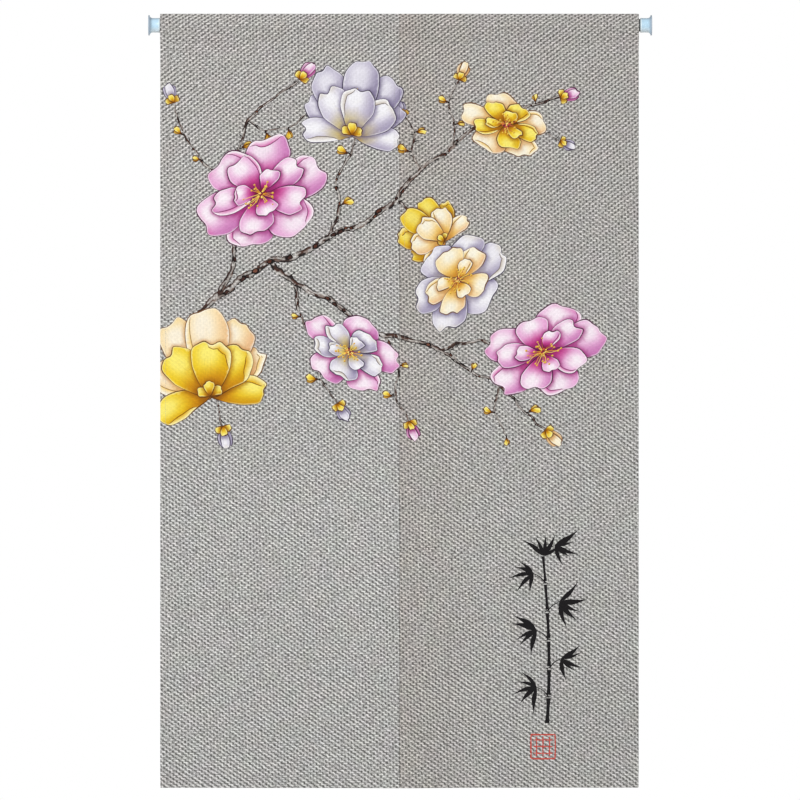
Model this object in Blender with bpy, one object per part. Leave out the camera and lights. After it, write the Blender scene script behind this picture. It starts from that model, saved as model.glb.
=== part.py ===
"""Door curtain of two cloth panels on a plain tension rod. Metres, +Z up.

The origin is the centre of the left foot's pressing face, on the rod's axis. +X runs along the
rod to the right foot, and the curtain's front faces -Y. Each panel is one cut of canvas. Its top is
folded to the back over the rod and sewn down as a pocket, and its sides and bottom are turned hems.
The panels are sewn edge to edge at the top, and part at a slit below.
"""

import math

import bmesh
import bpy
from mathutils import Vector

# Driving sizes
SPAN = 0.842  # from pressing face to pressing face
CLOTH_START = 0.0199  # x of the cloth's left edge
CLOTH_WIDTH = 0.800  # both panels together
CLOTH_TOP = 0.020  # the pocket's crease above the rod's axis
CLOTH_DROP = 1.295  # from the crease to the bottom hem
CLOTH = 0.0012  # thickness of one layer
GAP = 0.0003  # between pieces that touch
SHARP_OVER = math.radians(32)  # an edge that bends more than this is shown sharp

# Rod and feet
ROD_RADIUS = 0.0105
ROD_WALL = 0.0008
FOOT_LENGTH = 0.0194
FOOT_RADIUS = 0.012
PLATE_RADIUS = 0.017
PLATE_EDGE = 0.0022  # thickness of the pressing plate at its rim
SOCKET_END = 0.004  # solid plastic between the tube's end and the pressing face
FOOT_CORNER = 0.0006  # small chamfer on the foot's outer edges
FLARE_STEPS = 5
FLARE_RADIUS = PLATE_RADIUS - FOOT_RADIUS
ROUND_STEPS = 32

# Rod pocket, as (y, z) in the section across the rod
SEAM_Y = -0.0040  # middle of the front layer where the pocket is sewn
SEAM_Z = -0.0300
SEAM_LAYERS = 0.0014  # from the middle of the front layer to that of the back layer there
SEAM_BAND = 0.0040  # height of the sewn band
ARC_STEPS = 5

# Turned hems
SIDE_HEM = 0.010
BOTTOM_HEM = 0.020
HEM_STEP = 0.0006  # width of the step from two layers to one

# Panels
COLUMNS = 18
OPEN_FROM = -0.292  # height at which the sewn join of the panels ends
OPEN_OVER = 0.050  # drop over which the free edges take their places
LAP = 0.0012  # each free edge passes the centre line by this much
PROUD = 0.0036  # the left free edge stands in front of the right one by this much
LAP_REACH = 0.090  # how far from the slit the lap is felt
DROOP_FROM = -0.036  # the folds begin under the pocket
DROOP_FULL = -0.420  # and are soft swells from here on
HEM_GROWTH = 0.35  # share by which they have deepened at the hem

# Rows of the sheet: how many between one height and the next, from the pocket's band down
ROWS = {
    "sewn": {"down_to": OPEN_FROM, "rows": 3},
    "parting": {"down_to": OPEN_FROM - OPEN_OVER, "rows": 2},
    "lapping": {"down_to": OPEN_FROM - 2 * OPEN_OVER, "rows": 2},
    "hanging": {"down_to": CLOTH_TOP - CLOTH_DROP + BOTTOM_HEM + HEM_STEP, "rows": 8},
}

# Soft folds, by name: distance of the crest from the cloth's left edge, half width at half height,
# how far it stands to the front, and how far its crest has moved to the right at the hem
FOLDS = {
    "left swell": {"at": 0.150, "half_width": 0.070, "depth": 0.0030, "drift": 0.020},
    "inner swell": {"at": 0.372, "half_width": 0.120, "depth": 0.0065, "drift": 0.0},
    "slit roll": {"at": 0.405, "half_width": 0.045, "depth": 0.0040, "drift": 0.0},
    "right swell": {"at": 0.560, "half_width": 0.030, "depth": 0.0008, "drift": 0.012},
    "right ripple": {"at": 0.655, "half_width": 0.026, "depth": 0.0012, "drift": 0.010},
    "outer ripple": {"at": 0.738, "half_width": 0.022, "depth": 0.0014, "drift": -0.012},
}
RIGHT_TURN = 0.0040  # how far the right edge stands back

COLOURS = {
    "canvas": (0.40, 0.39, 0.37, 1.0),
    "grey_steel": (0.09, 0.10, 0.10, 1.0),
    "pale_blue_plastic": (0.55, 0.76, 0.93, 1.0),
}


def material(name, roughness, metallic=0.0):
    made = bpy.data.materials.get(name) or bpy.data.materials.new(name)
    made.use_nodes = True
    shader = made.node_tree.nodes["Principled BSDF"]
    shader.inputs["Base Color"].default_value = COLOURS[name]
    shader.inputs["Roughness"].default_value = roughness
    shader.inputs["Metallic"].default_value = metallic
    return made


def finish_object(name, work, look, parent):
    """Turns a finished bmesh into a named object with smooth round faces and sharp edges."""
    bmesh.ops.recalc_face_normals(work, faces=work.faces)
    mesh = bpy.data.meshes.new(name)
    work.to_mesh(mesh)
    work.free()
    mesh.materials.append(look)
    mesh.shade_smooth()
    mesh.set_sharp_from_angle(angle=SHARP_OVER)
    made = bpy.data.objects.new(name, mesh)
    bpy.context.scene.collection.objects.link(made)
    made.parent = parent
    return made


def smooth_step(value, start, end):
    """0 at start, 1 at end, with a soft rise between them."""
    share = min(max((value - start) / (end - start), 0.0), 1.0)
    return share * share * (3 - 2 * share)


# Cloth folds

def billow(across, height):
    """How far the cloth stands to the front, at a distance from its left edge and a height."""
    fallen = smooth_step(height, DROOP_FULL, CLOTH_TOP - CLOTH_DROP)
    swell = 0.0
    for fold in FOLDS.values():
        crest = fold["at"] + fold["drift"] * fallen
        reach = (across - crest) / fold["half_width"]
        swell += fold["depth"] * (1 + HEM_GROWTH * fallen) * math.exp(-math.log(2) * reach**2)
    turn = RIGHT_TURN * smooth_step(across, CLOTH_WIDTH / 2, CLOTH_WIDTH)
    return (swell - turn) * smooth_step(height, DROOP_FROM, DROOP_FULL)


def free_edge(across, height, side):
    """(x, y) shift of a panel near the slit. side is -1 on the left panel and 1 on the right one."""
    parted = smooth_step(height, OPEN_FROM, OPEN_FROM - OPEN_OVER)
    lapped = smooth_step(height, OPEN_FROM - OPEN_OVER, OPEN_FROM - 2 * OPEN_OVER)
    near = smooth_step(abs(across - CLOTH_WIDTH / 2), LAP_REACH, 0.0)
    shift_x = -side * LAP * lapped * near
    shift_y = side * PROUD / 2 * parted * near
    return shift_x, shift_y


# Section across the rod

def tangent_angle(point, radius, side):
    """Angle, from the -Y direction upwards, at which a line from point touches a circle on the axis."""
    distance = math.hypot(*point)
    direction = math.atan2(point[1], -point[0])
    return direction + side * math.acos(radius / distance)


def ring_point(angle, radius):
    return (-radius * math.cos(angle), radius * math.sin(angle))


def pocket_path():
    """Middle of the cloth from the seam's back, over the rod, down to the seam's front."""
    radius = ROD_RADIUS + GAP + CLOTH / 2
    peak = (0.0, CLOTH_TOP / (1 + CLOTH / 2 / radius))
    front_seam = (SEAM_Y, SEAM_Z)
    back_seam = (SEAM_Y + SEAM_LAYERS, SEAM_Z)
    arcs = []
    for seam, towards in ((back_seam, -1), (front_seam, 1)):
        low = tangent_angle(seam, radius, towards)
        high = tangent_angle(peak, radius, -towards)
        if towards < 0:
            low, high = low % math.tau, high % math.tau
        arcs.append([low + (high - low) * step / ARC_STEPS for step in range(ARC_STEPS + 1)])
    back = [ring_point(angle, radius) for angle in arcs[0]]
    front = [ring_point(angle, radius) for angle in reversed(arcs[1])]
    return [back_seam, *back, peak, *front, front_seam]


def offset(points, distance):
    """The line beside a row of (y, z) points, with mitred corners."""
    runs = [(Vector(end) - Vector(start)).normalized() for start, end in zip(points, points[1:])]
    sides = [Vector((run.y, -run.x)) for run in runs]
    before = [sides[0], *sides]
    after = [*sides, sides[-1]]
    moved = []
    for here, side, other in zip(points, before, after):
        normal = (side + other).normalized()
        moved.append(Vector(here) + normal * distance / normal.dot(other))
    return moved


def sheet_heights():
    """Heights of the rows below the pocket, with a narrow row where the hem begins."""
    bottom = CLOTH_TOP - CLOTH_DROP
    start = SEAM_Z - SEAM_BAND
    heights = [start, start - HEM_STEP]
    for stretch in ROWS.values():
        above = heights[-1]
        run = stretch["down_to"] - above
        heights += [above + run * (row + 1) / stretch["rows"] for row in range(stretch["rows"])]
    return [*heights, bottom + BOTTOM_HEM, bottom]


def section(work):
    """The panel's section in the YZ plane: pocket ring, sewn band and sheet, as quads."""
    path = pocket_path()
    outer = offset(path, CLOTH / 2)
    inner = offset(path, -CLOTH / 2)
    valley = (inner[0] + inner[-1]) / 2
    inner[0] = valley
    inner[-1] = valley

    def vertex(point):
        return work.verts.new((0.0, point[0], point[1]))

    outside = [vertex(point) for point in outer]
    channel = [vertex(point) for point in inner[:-1]]
    channel.append(channel[0])
    for here, after in zip(range(len(path)), range(1, len(path))):
        work.faces.new([outside[here], outside[after], channel[after], channel[here]])

    front, back = outside[-1], channel[0]
    front_y = front.co.y
    for row, height in enumerate(sheet_heights()):
        next_front = vertex((front_y, height))
        next_back = vertex((front_y + CLOTH, height))
        work.faces.new([front, next_front, next_back, back])
        if row == 0:
            band = vertex((front_y + 2 * CLOTH, height))
            work.faces.new([back, next_back, band, outside[0]])
        front, back = next_front, next_back
    return front_y


def panel_columns(width):
    """Distances from a panel's left edge, with a narrow column beside each side hem."""
    inside = SIDE_HEM + HEM_STEP
    run = width - 2 * inside
    even = [inside + run * step / COLUMNS for step in range(COLUMNS + 1)]
    return [0.0, SIDE_HEM, *even, width - SIDE_HEM, width]


def build_panel(name, side, look, parent):
    """One panel. side is -1 on the left and 1 on the right."""
    width = CLOTH_WIDTH / 2 - GAP / 2
    first = 0.0 if side < 0 else CLOTH_WIDTH / 2 + GAP / 2
    work = bmesh.new()
    front_y = section(work)
    columns = panel_columns(width)
    faces = list(work.faces)
    for index, (here, after) in enumerate(zip(columns, columns[1:])):
        grown = bmesh.ops.extrude_face_region(work, geom=faces)["geom"]
        if index > 0:
            bmesh.ops.delete(work, geom=faces, context="FACES")
        faces = [item for item in grown if isinstance(item, bmesh.types.BMFace)]
        verts = [item for item in grown if isinstance(item, bmesh.types.BMVert)]
        bmesh.ops.translate(work, verts=verts, vec=(after - here, 0.0, 0.0))

    hem_top = CLOTH_TOP - CLOTH_DROP + BOTTOM_HEM
    sheet_top = SEAM_Z - SEAM_BAND - HEM_STEP / 2
    for vert in work.verts:
        at, height = vert.co.x, vert.co.z
        is_back = height < sheet_top and vert.co.y > front_y + CLOTH / 2
        in_hem = height < hem_top + HEM_STEP / 2 or min(at, width - at) < SIDE_HEM + HEM_STEP / 2
        across = first + at
        shift_x, shift_y = free_edge(across, height, side)
        vert.co.x += shift_x
        vert.co.y += shift_y - billow(across, height)
        if is_back and in_hem:
            vert.co.y += CLOTH
    made = finish_object(name, work, look, parent)
    made.location.x = CLOTH_START + first
    return made


# Rod and feet

def turned(name, outline, look, parent, closed):
    """A round piece: an outline of (x, radius) points spun about the X axis."""
    work = bmesh.new()
    points = [work.verts.new((x, 0.0, radius)) for x, radius in outline]
    edges = [work.edges.new(pair) for pair in zip(points, points[1:])]
    if closed:
        edges.append(work.edges.new((points[-1], points[0])))
    bmesh.ops.spin(
        work,
        geom=points + edges,
        cent=(0.0, 0.0, 0.0),
        axis=(1.0, 0.0, 0.0),
        angle=math.tau,
        steps=ROUND_STEPS,
        use_merge=True,
    )
    bmesh.ops.remove_doubles(work, verts=work.verts, dist=1e-6)
    return finish_object(name, work, look, parent)


def foot_outline():
    """From the middle of the pressing face, over the plate's hollow flare, to the socket's bottom."""
    points = [(0.0, 0.0), (0.0, PLATE_RADIUS - FOOT_CORNER), (FOOT_CORNER, PLATE_RADIUS)]
    points.append((PLATE_EDGE, PLATE_RADIUS))
    for step in range(1, FLARE_STEPS + 1):
        angle = math.pi / 2 * step / FLARE_STEPS
        x = PLATE_EDGE + FLARE_RADIUS * (1 - math.cos(angle))
        points.append((x, PLATE_RADIUS - FLARE_RADIUS * math.sin(angle)))
    points.append((FOOT_LENGTH - FOOT_CORNER, FOOT_RADIUS))
    points.append((FOOT_LENGTH, FOOT_RADIUS - FOOT_CORNER))
    points.append((FOOT_LENGTH, ROD_RADIUS + GAP))
    points.append((SOCKET_END, ROD_RADIUS + GAP))
    points.append((SOCKET_END, 0.0))
    return points


def build_foot(name, look, parent, at_end):
    made = turned(name, foot_outline(), look, parent, closed=False)
    if at_end:
        made.location.x = SPAN
        made.rotation_euler.z = math.pi
    return made


def build_rod(look, parent):
    start = SOCKET_END + GAP
    length = SPAN - 2 * start
    inside = ROD_RADIUS - ROD_WALL
    outline = [(0.0, inside), (0.0, ROD_RADIUS), (length, ROD_RADIUS), (length, inside)]
    made = turned("rod", outline, look, parent, closed=True)
    made.location.x = start
    return made


def main():
    for old in list(bpy.data.objects):
        bpy.data.objects.remove(old, do_unlink=True)
    curtain = bpy.data.objects.new("door_curtain", None)
    bpy.context.scene.collection.objects.link(curtain)
    canvas = material("canvas", roughness=0.92)
    plastic = material("pale_blue_plastic", roughness=0.28)
    steel = material("grey_steel", roughness=0.42, metallic=0.6)
    build_panel("left_panel", -1, canvas, curtain)
    build_panel("right_panel", 1, canvas, curtain)
    build_rod(steel, curtain)
    build_foot("left_foot", plastic, curtain, at_end=False)
    build_foot("right_foot", plastic, curtain, at_end=True)


main()
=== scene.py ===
"""The looks of a door curtain: two printed canvas panels hung on a tension rod. Metres, +Z up.

Each panel is one flat cut of canvas. Its outline, its grid and every outline of its print are joined
into one triangulated sheet in flat coordinates, and the sheet is then turned at its hems, folded over
the rod and hung in its soft folds. Flat coordinates are "across", from the curtain's left edge to the
right, and "down", from the pocket's crease to the bottom. In them a heading of 0 degrees points up and
one of 90 to the right.
"""

import math
import random

import bmesh
import bpy
import numpy as np
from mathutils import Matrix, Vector
from mathutils.geometry import delaunay_2d_cdt


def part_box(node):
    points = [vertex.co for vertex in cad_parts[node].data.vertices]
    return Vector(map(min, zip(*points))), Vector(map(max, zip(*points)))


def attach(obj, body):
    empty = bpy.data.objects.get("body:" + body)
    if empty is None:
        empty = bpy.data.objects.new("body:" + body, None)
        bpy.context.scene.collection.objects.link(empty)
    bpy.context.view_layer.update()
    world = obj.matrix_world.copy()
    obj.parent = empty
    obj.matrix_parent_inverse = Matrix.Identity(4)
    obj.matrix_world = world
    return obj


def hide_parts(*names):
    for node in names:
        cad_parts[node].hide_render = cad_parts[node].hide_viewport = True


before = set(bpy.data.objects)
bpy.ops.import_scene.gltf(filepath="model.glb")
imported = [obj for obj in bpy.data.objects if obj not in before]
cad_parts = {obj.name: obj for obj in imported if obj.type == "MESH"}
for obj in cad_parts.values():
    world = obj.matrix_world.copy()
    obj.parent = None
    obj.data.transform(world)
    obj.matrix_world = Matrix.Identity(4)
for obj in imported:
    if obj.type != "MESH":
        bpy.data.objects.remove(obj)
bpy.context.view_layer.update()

MM = 0.001

# Sizes shared with the solids
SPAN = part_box("right_foot")[1].x
CLOTH_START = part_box("left_panel")[0].x
CLOTH_WIDTH = 0.800
CLOTH_TOP = 0.020
CLOTH_DROP = 1.295
SOLID_CLOTH = 0.0012  # thickness of a solid panel
GAP = 0.0003  # between the panels, and round the rod
ROD_RADIUS = 0.0105
SEAM_Y = -0.0040
SEAM_Z = -0.0300
SEAM_BAND = 0.0040  # height of the sewn band below the pocket
SIDE_HEM = 0.010
BOTTOM_HEM = 0.020

# The slit
OPEN_FROM = -0.292  # height of its top
OPEN_OVER = 0.050  # height over which it parts
PRESSED = 0.00025  # how far each panel moves towards the other one where they are sewn together
LAP = 0.00035  # how far it moves that way where they hang free
PROUD = 0.0015  # how far the left free edge stands in front of the right one
LAP_REACH = 0.090  # width of the cloth that moves with a free edge

# The folds. Each is at a distance across, and drifts sideways on its way down
DROOP_FROM = -0.036  # they grow from this height down to the next one
DROOP_FULL = -0.420
HEM_GROWTH = 0.35  # share by which they deepen from there to the bottom
RIGHT_TURN = 0.0040  # how far the right side is turned back
FOLDS = {
    "left swell": {"at": 0.150, "half_width": 0.070, "depth": 0.0030, "drift": 0.020},
    "inner swell": {"at": 0.372, "half_width": 0.120, "depth": 0.0065, "drift": 0.0},
    "slit roll": {"at": 0.405, "half_width": 0.045, "depth": 0.0040, "drift": 0.0},
    "right swell": {"at": 0.560, "half_width": 0.030, "depth": 0.0008, "drift": 0.012},
    "right ripple": {"at": 0.655, "half_width": 0.026, "depth": 0.0012, "drift": 0.010},
    "outer ripple": {"at": 0.738, "half_width": 0.022, "depth": 0.0014, "drift": -0.012},
}
RIPPLES = ((0.061, 0.00028, 0.035), (0.038, 0.00016, -0.05), (0.110, 0.00040, 0.02))  # length, depth, slant
RIPPLE_FADE = 0.15  # height over which the ripples begin
SWAY = 0.3  # how far a ripple wanders on its way down, in lengths
SWAY_RATE = 5
PUCKER = 0.00030
PUCKER_LENGTH = 0.0175
PUCKER_REACH = 0.0075
PUCKER_SWAY = 1.5
PUCKER_SWAY_RATE = 31

# The canvas and its hems
CANVAS = 0.0008  # thickness of one layer
PITCH = 0.00095  # from the middle of one layer to the middle of the next in a hem
SIDE_TUCK = 0.0085  # raw edge tucked into a side hem
BOTTOM_TUCK = 0.0150
TOP_TUCK = 0.0060
PANEL_WIDTH = CLOTH_WIDTH / 2 - GAP / 2
FRONT_Y = SEAM_Y - SOLID_CLOTH / 2 + CANVAS / 2
FALL = CLOTH_DROP - CANVAS / 2  # distance down of the middle line's lowest place
HEM_STARTS = 0.056  # distance down at which the side hems begin
HEM_ENDS = FALL - BOTTOM_HEM - 0.003
HEM_FADE = 0.008  # height over which a side hem's roundness begins
HEM_EASE = 0.030  # width over which it is taken out of the panel's width
TURN_POINTS = 16  # steps of the middle line in a hem's turn
TUCK_POINTS = 12  # and in the turn of its tucked edge
RING_POINTS = 24  # points of it on each side of the rod
LINE_STEP = 0.00025
CORNER_REACH = 0.0030  # length over which its corners are rounded

# The grid of the flat cut
COLUMN = 0.0055
ROW = 0.0080
ROD_ROW = 0.0022  # spacing of the rows over the rod
TURN_STEPS = 6
TUCK_STEPS = 4
TUCK_EASE = 0.0001
SNAP = 2.5e-5  # places of the triangulation that are closer than this are joined
NEAR = 1e-5

# Camera
CENTRE = Vector((0.42074, 0.0, -0.62666))
LENS = 300
SENSOR = 36
FRAME_WIDTH = 1.338


def smooth_step(value, start, end):
    """0 at start, 1 at end, with a soft rise between them."""
    share = np.clip((np.asarray(value, float) - start) / (end - start), 0.0, 1.0)
    return share * share * (3 - 2 * share)


def hump(value, centre, reach):
    """1 at the centre, falling off to both sides."""
    return np.exp(-(((value - centre) / reach) ** 2))


def blend(first, second, share):
    share = np.asarray(share, float)[..., None]
    return np.asarray(first, float) * (1 - share) + np.asarray(second, float) * share


def linear(colour):
    """An sRGB colour of 0 to 255 as linear light."""
    value = np.clip(np.asarray(colour, float) / 255, 0, 1)
    return np.where(value <= 0.04045, value / 12.92, ((value + 0.055) / 1.055) ** 2.4)


def order_faces(work):
    """Sorts a shape's faces by their corners, since spin leaves them in another order on each run."""
    work.verts.index_update()

    def place_in_order(face):
        first, second, third, *_ = sorted(vert.index for vert in face.verts)
        return (first * len(work.verts) + second) * len(work.verts) + third

    work.faces.sort(key=place_in_order)


def placed(name, data):
    """A new object of the scene, made of a mesh, a light or a camera."""
    made = bpy.data.objects.new(name, data)
    bpy.context.scene.collection.objects.link(made)
    return made


# How the canvas hangs

class Trace:
    """The middle line of the canvas in a section, read by the length along it."""

    def __init__(self, points, side):
        self.points = np.array(points, float)
        runs = np.diff(self.points, axis=0)
        self.along = np.concatenate([[0.0], np.cumsum(np.hypot(runs[:, 0], runs[:, 1]))])
        heading = np.gradient(self.points, self.along, axis=0)
        heading /= np.linalg.norm(heading, axis=1)[:, None]
        self.inner = side * np.stack([-heading[:, 1], heading[:, 0]], axis=1)

    def read(self, values, along):
        return np.stack([np.interp(along, self.along, values[:, axis]) for axis in (0, 1)], axis=-1)

    def at(self, along):
        """Place of the middle line, and the direction of the cloth's wrong side."""
        inner = self.read(self.inner, along)
        return self.read(self.points, along), inner / np.linalg.norm(inner, axis=-1)[..., None]


def arc(centre, radius, start, sweep, steps):
    """Points of an arc, angles in degrees."""
    angles = np.radians(np.linspace(start, start + sweep, steps + 1))
    return [(centre[0] + radius * math.cos(a), centre[1] + radius * math.sin(a)) for a in angles]


def side_turn():
    """A side hem as (distance in from the edge, depth), from the start of its first turn."""
    points = arc((PITCH, PITCH), PITCH, -90, -180, TURN_POINTS)
    points += arc((SIDE_HEM, 1.5 * PITCH), PITCH / 2, 90, -180, TUCK_POINTS)
    points.append((SIDE_HEM - SIDE_TUCK, PITCH))
    return Trace(points, -1)


def tangent_angle(point, radius, side):
    distance = math.hypot(*point)
    direction = math.atan2(point[1], -point[0])
    return direction + side * math.acos(radius / distance)


def round_rod(seam, peak, radius, towards):
    """The cloth that lies on the rod, from below upwards: at its back where towards is -1, else in front."""
    low = tangent_angle(seam, radius, towards)
    high = tangent_angle(peak, radius, -towards)
    if towards < 0:
        low, high = low % math.tau, high % math.tau
    angles = np.linspace(low, high, RING_POINTS)
    return [(-radius * math.cos(a), radius * math.sin(a)) for a in angles]


def softened(points, step, reach):
    """A polyline resampled evenly, with its corners rounded over a length of reach."""
    points = np.array(points, float)
    along = np.concatenate([[0.0], np.cumsum(np.hypot(*np.diff(points, axis=0).T))])
    even = np.arange(0.0, along[-1], step)
    window = 2 * round(reach / step / 2) + 1
    rows = []
    for axis in (0, 1):
        line = np.interp(even, along, points[:, axis])
        ends = np.pad(line, window // 2, mode="reflect", reflect_type="odd")
        rows.append(np.convolve(ends, np.ones(window) / window, mode="valid"))
    return np.stack(rows, axis=1)


def drop_trace():
    """The canvas in the YZ plane, from the raw edge in the pocket's band to that of the bottom hem."""
    radius = ROD_RADIUS + GAP + CANVAS / 2
    back_y = FRONT_Y + 2 * PITCH
    band = SEAM_Z - SEAM_BAND
    bottom = CLOTH_TOP - FALL
    peak = (0.0, CLOTH_TOP - CANVAS / 2)
    behind = round_rod((back_y, SEAM_Z), peak, radius, -1)
    before = round_rod((FRONT_Y, SEAM_Z), peak, radius, 1)[::-1]
    over = [(back_y, band + PITCH / 2), (back_y, SEAM_Z), *behind, peak, *before]
    over += [(FRONT_Y, SEAM_Z), (FRONT_Y, band)]
    points = [(FRONT_Y + PITCH, SEAM_Z + TOP_TUCK - SEAM_BAND)]
    points += arc((FRONT_Y + 1.5 * PITCH, band + PITCH / 2), PITCH / 2, 180, 180, TUCK_POINTS)
    points += list(softened(over, LINE_STEP, CORNER_REACH))[1:]
    points += arc((FRONT_Y + PITCH, bottom + PITCH), PITCH, 180, 180, TURN_POINTS)
    points += arc((FRONT_Y + 1.5 * PITCH, bottom + BOTTOM_HEM), PITCH / 2, 0, 180, TUCK_POINTS)
    points.append((FRONT_Y + PITCH, bottom + BOTTOM_HEM - BOTTOM_TUCK))
    return Trace(points, 1)


SIDE = side_turn()
DROP = drop_trace()
STRAIGHT = np.flatnonzero(DROP.points[:, 1] > SEAM_Z - SEAM_BAND - PITCH)[-1]
DOWN_ZERO = DROP.along[STRAIGHT] - (CLOTH_TOP - DROP.points[STRAIGHT, 1])
TOP_DOWN = -DOWN_ZERO  # the raw edge in the pocket's band
END_DOWN = DROP.along[-1] - DOWN_ZERO  # the raw edge in the bottom hem
SIDE_OUT = SIDE.along[-1] - PITCH  # canvas beyond a finished side edge


def billow(across, height):
    """How far the cloth stands to the front."""
    fallen = smooth_step(height, DROOP_FULL, CLOTH_TOP - CLOTH_DROP)
    swell = 0.0
    for fold in FOLDS.values():
        crest = fold["at"] + fold["drift"] * fallen
        reach = (across - crest) / fold["half_width"]
        swell = swell + fold["depth"] * (1 + HEM_GROWTH * fallen) * np.exp(-math.log(2) * reach**2)
    turn = RIGHT_TURN * smooth_step(across, CLOTH_WIDTH / 2, CLOTH_WIDTH)
    return (swell - turn) * smooth_step(height, DROOP_FROM, DROOP_FULL)


def unevenness(across, height):
    """Small ripples of the hanging cloth, and puckers along the pocket's seam."""
    hung = smooth_step(height, DROOP_FROM, DROOP_FROM - RIPPLE_FADE)
    wave = 0.0
    for number, (length, depth, slant) in enumerate(RIPPLES):
        phase = (across + slant * height) / length + SWAY * np.sin(height * SWAY_RATE + number)
        wave = wave + depth * np.sin(math.tau * phase + number)
    pull = np.sin(math.tau * across / PUCKER_LENGTH + PUCKER_SWAY * np.sin(across * PUCKER_SWAY_RATE))
    return wave * hung + PUCKER * pull * hump(height, SEAM_Z, PUCKER_REACH)


def free_edge(across, height, side):
    """(x, y) shift of a panel near the slit. side is -1 on the left panel and 1 on the right one."""
    parted = smooth_step(height, OPEN_FROM, OPEN_FROM - OPEN_OVER)
    lapped = smooth_step(height, OPEN_FROM - OPEN_OVER, OPEN_FROM - 2 * OPEN_OVER)
    near = smooth_step(np.abs(across - CLOTH_WIDTH / 2), LAP_REACH, 0.0)
    return -side * (PRESSED + (LAP - PRESSED) * lapped) * near, side * PROUD / 2 * parted * near


def left_edge(side):
    """Distance across of a panel's left edge."""
    return 0.0 if side < 0 else CLOTH_WIDTH - PANEL_WIDTH


def hang(side, across, down, depth):
    """World places of flat places of a panel, at a depth from the middle towards the wrong side."""
    first = left_edge(side)
    own = across - first
    leftward = own < PANEL_WIDTH / 2
    to_edge = np.minimum(own, PANEL_WIDTH - own)
    past = PITCH - to_edge
    turned, lean = SIDE.at(np.maximum(past, 0.0))
    inward = np.where(past > 0, turned[..., 0] + lean[..., 0] * depth, to_edge)
    deep = np.where(past > 0, turned[..., 1] + lean[..., 1] * depth, depth)
    eased = smooth_step(down, HEM_STARTS - HEM_FADE, HEM_STARTS) * smooth_step(to_edge, HEM_EASE, PITCH)
    inward = inward + CANVAS / 2 * eased
    at = first + np.where(leftward, inward, PANEL_WIDTH - inward)
    line, inner = DROP.at(down + DOWN_ZERO)
    y = line[..., 0] + inner[..., 0] * deep
    z = line[..., 1] + inner[..., 1] * deep
    shift_x, shift_y = free_edge(at, z, side)
    y = y + shift_y - billow(at, z) - unevenness(at, z)
    return np.stack([CLOTH_START + at + shift_x, y, z], axis=-1)


def facing(side, across, down, depth):
    """Directions straight off the printed face."""
    step = 0.00004
    over = hang(side, across + step, down, depth) - hang(side, across - step, down, depth)
    along = hang(side, across, down + step, depth) - hang(side, across, down - step, depth)
    normal = -np.cross(over, along)
    return normal / np.linalg.norm(normal, axis=-1)[..., None]


# Outlines of the print

CURVE_STEPS = 24  # points of an open curve between two of the given ones, before it is resampled


def way_of(heading):
    """Unit direction of a heading in degrees."""
    turn = math.radians(heading)
    return np.array([math.sin(turn), -math.cos(turn)])


def beside(way):
    """A direction turned by a quarter."""
    return np.array([-way[1], way[0]])


def curve_pieces(points, steps):
    """Smooth pieces between points, each shaped by the point before it and the one after it."""
    share = np.linspace(0, 1, steps, endpoint=False)[:, None]
    pieces = []
    for a, b, c, d in zip(points, points[1:], points[2:], points[3:]):
        rise = 2 * a - 5 * b + 4 * c - d
        curl = 3 * b - a - 3 * c + d
        pieces.append(b + 0.5 * ((c - a) * share + rise * share**2 + curl * share**3))
    return pieces


def closed_curve(points, steps):
    """A smooth closed line through a few points."""
    points = np.array(points, float)
    return np.concatenate(curve_pieces(np.concatenate([points[-1:], points, points[:2]]), steps))


def open_curve(points, spacing):
    """A smooth open line through a few points, resampled at an even spacing."""
    points = np.array(points, float)
    points = np.concatenate([[2 * points[0] - points[1]], points, [2 * points[-1] - points[-2]]])
    line = np.concatenate([*curve_pieces(points, CURVE_STEPS), [points[-2]]])
    along = np.concatenate([[0.0], np.cumsum(np.hypot(*np.diff(line, axis=0).T))])
    even = np.linspace(0, along[-1], max(2, round(along[-1] / spacing)) + 1)
    return np.stack([np.interp(even, along, line[:, axis]) for axis in (0, 1)], axis=1)


def line_normals(points, closed):
    """Unit directions to the left of a line's run."""
    if closed:
        run = np.roll(points, -1, axis=0) - np.roll(points, 1, axis=0)
    else:
        run = np.gradient(points, axis=0)
    run = run / np.maximum(np.linalg.norm(run, axis=1), 1e-9)[:, None]
    return np.stack([-run[:, 1], run[:, 0]], axis=1)


def inward_normals(outline):
    """Unit directions into a closed outline."""
    x, y = outline[:, 0], outline[:, 1]
    area = np.sum(x * np.roll(y, -1) - np.roll(x, -1) * y)
    return (1 if area > 0 else -1) * line_normals(outline, True)


def inset(outline, width):
    """A closed outline moved inwards by a width, which may differ from point to point."""
    return outline + np.asarray(width)[..., None] * inward_normals(outline)


def within(places, outline):
    """Which places lie inside a closed outline."""
    found = np.zeros(len(places), bool)
    low, high = outline.min(axis=0), outline.max(axis=0)
    near = np.flatnonzero(np.all((places >= low) & (places <= high), axis=1))
    if not len(near):
        return found
    x, y = places[near, 0][:, None], places[near, 1][:, None]
    x0, y0 = outline[:, 0][None], outline[:, 1][None]
    x1, y1 = np.roll(outline[:, 0], -1)[None], np.roll(outline[:, 1], -1)[None]
    crosses = (y0 > y) != (y1 > y)
    rise = np.where(y1 == y0, 1.0, y1 - y0)
    met = x < (x1 - x0) * (y - y0) / rise + x0
    found[near] = np.sum(crosses & met, axis=1) % 2 == 1
    return found


def distance_to(places, outline):
    """Distance from each place to the nearest point of a closed outline."""
    start, end = outline, np.roll(outline, -1, axis=0)
    run = end - start
    share = np.einsum("pej,ej->pe", places[:, None] - start[None], run)
    share = np.clip(share / np.maximum(np.sum(run * run, axis=1), 1e-12), 0, 1)
    nearest = start[None] + share[..., None] * run[None]
    return np.min(np.linalg.norm(places[:, None] - nearest, axis=2), axis=1)


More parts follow.
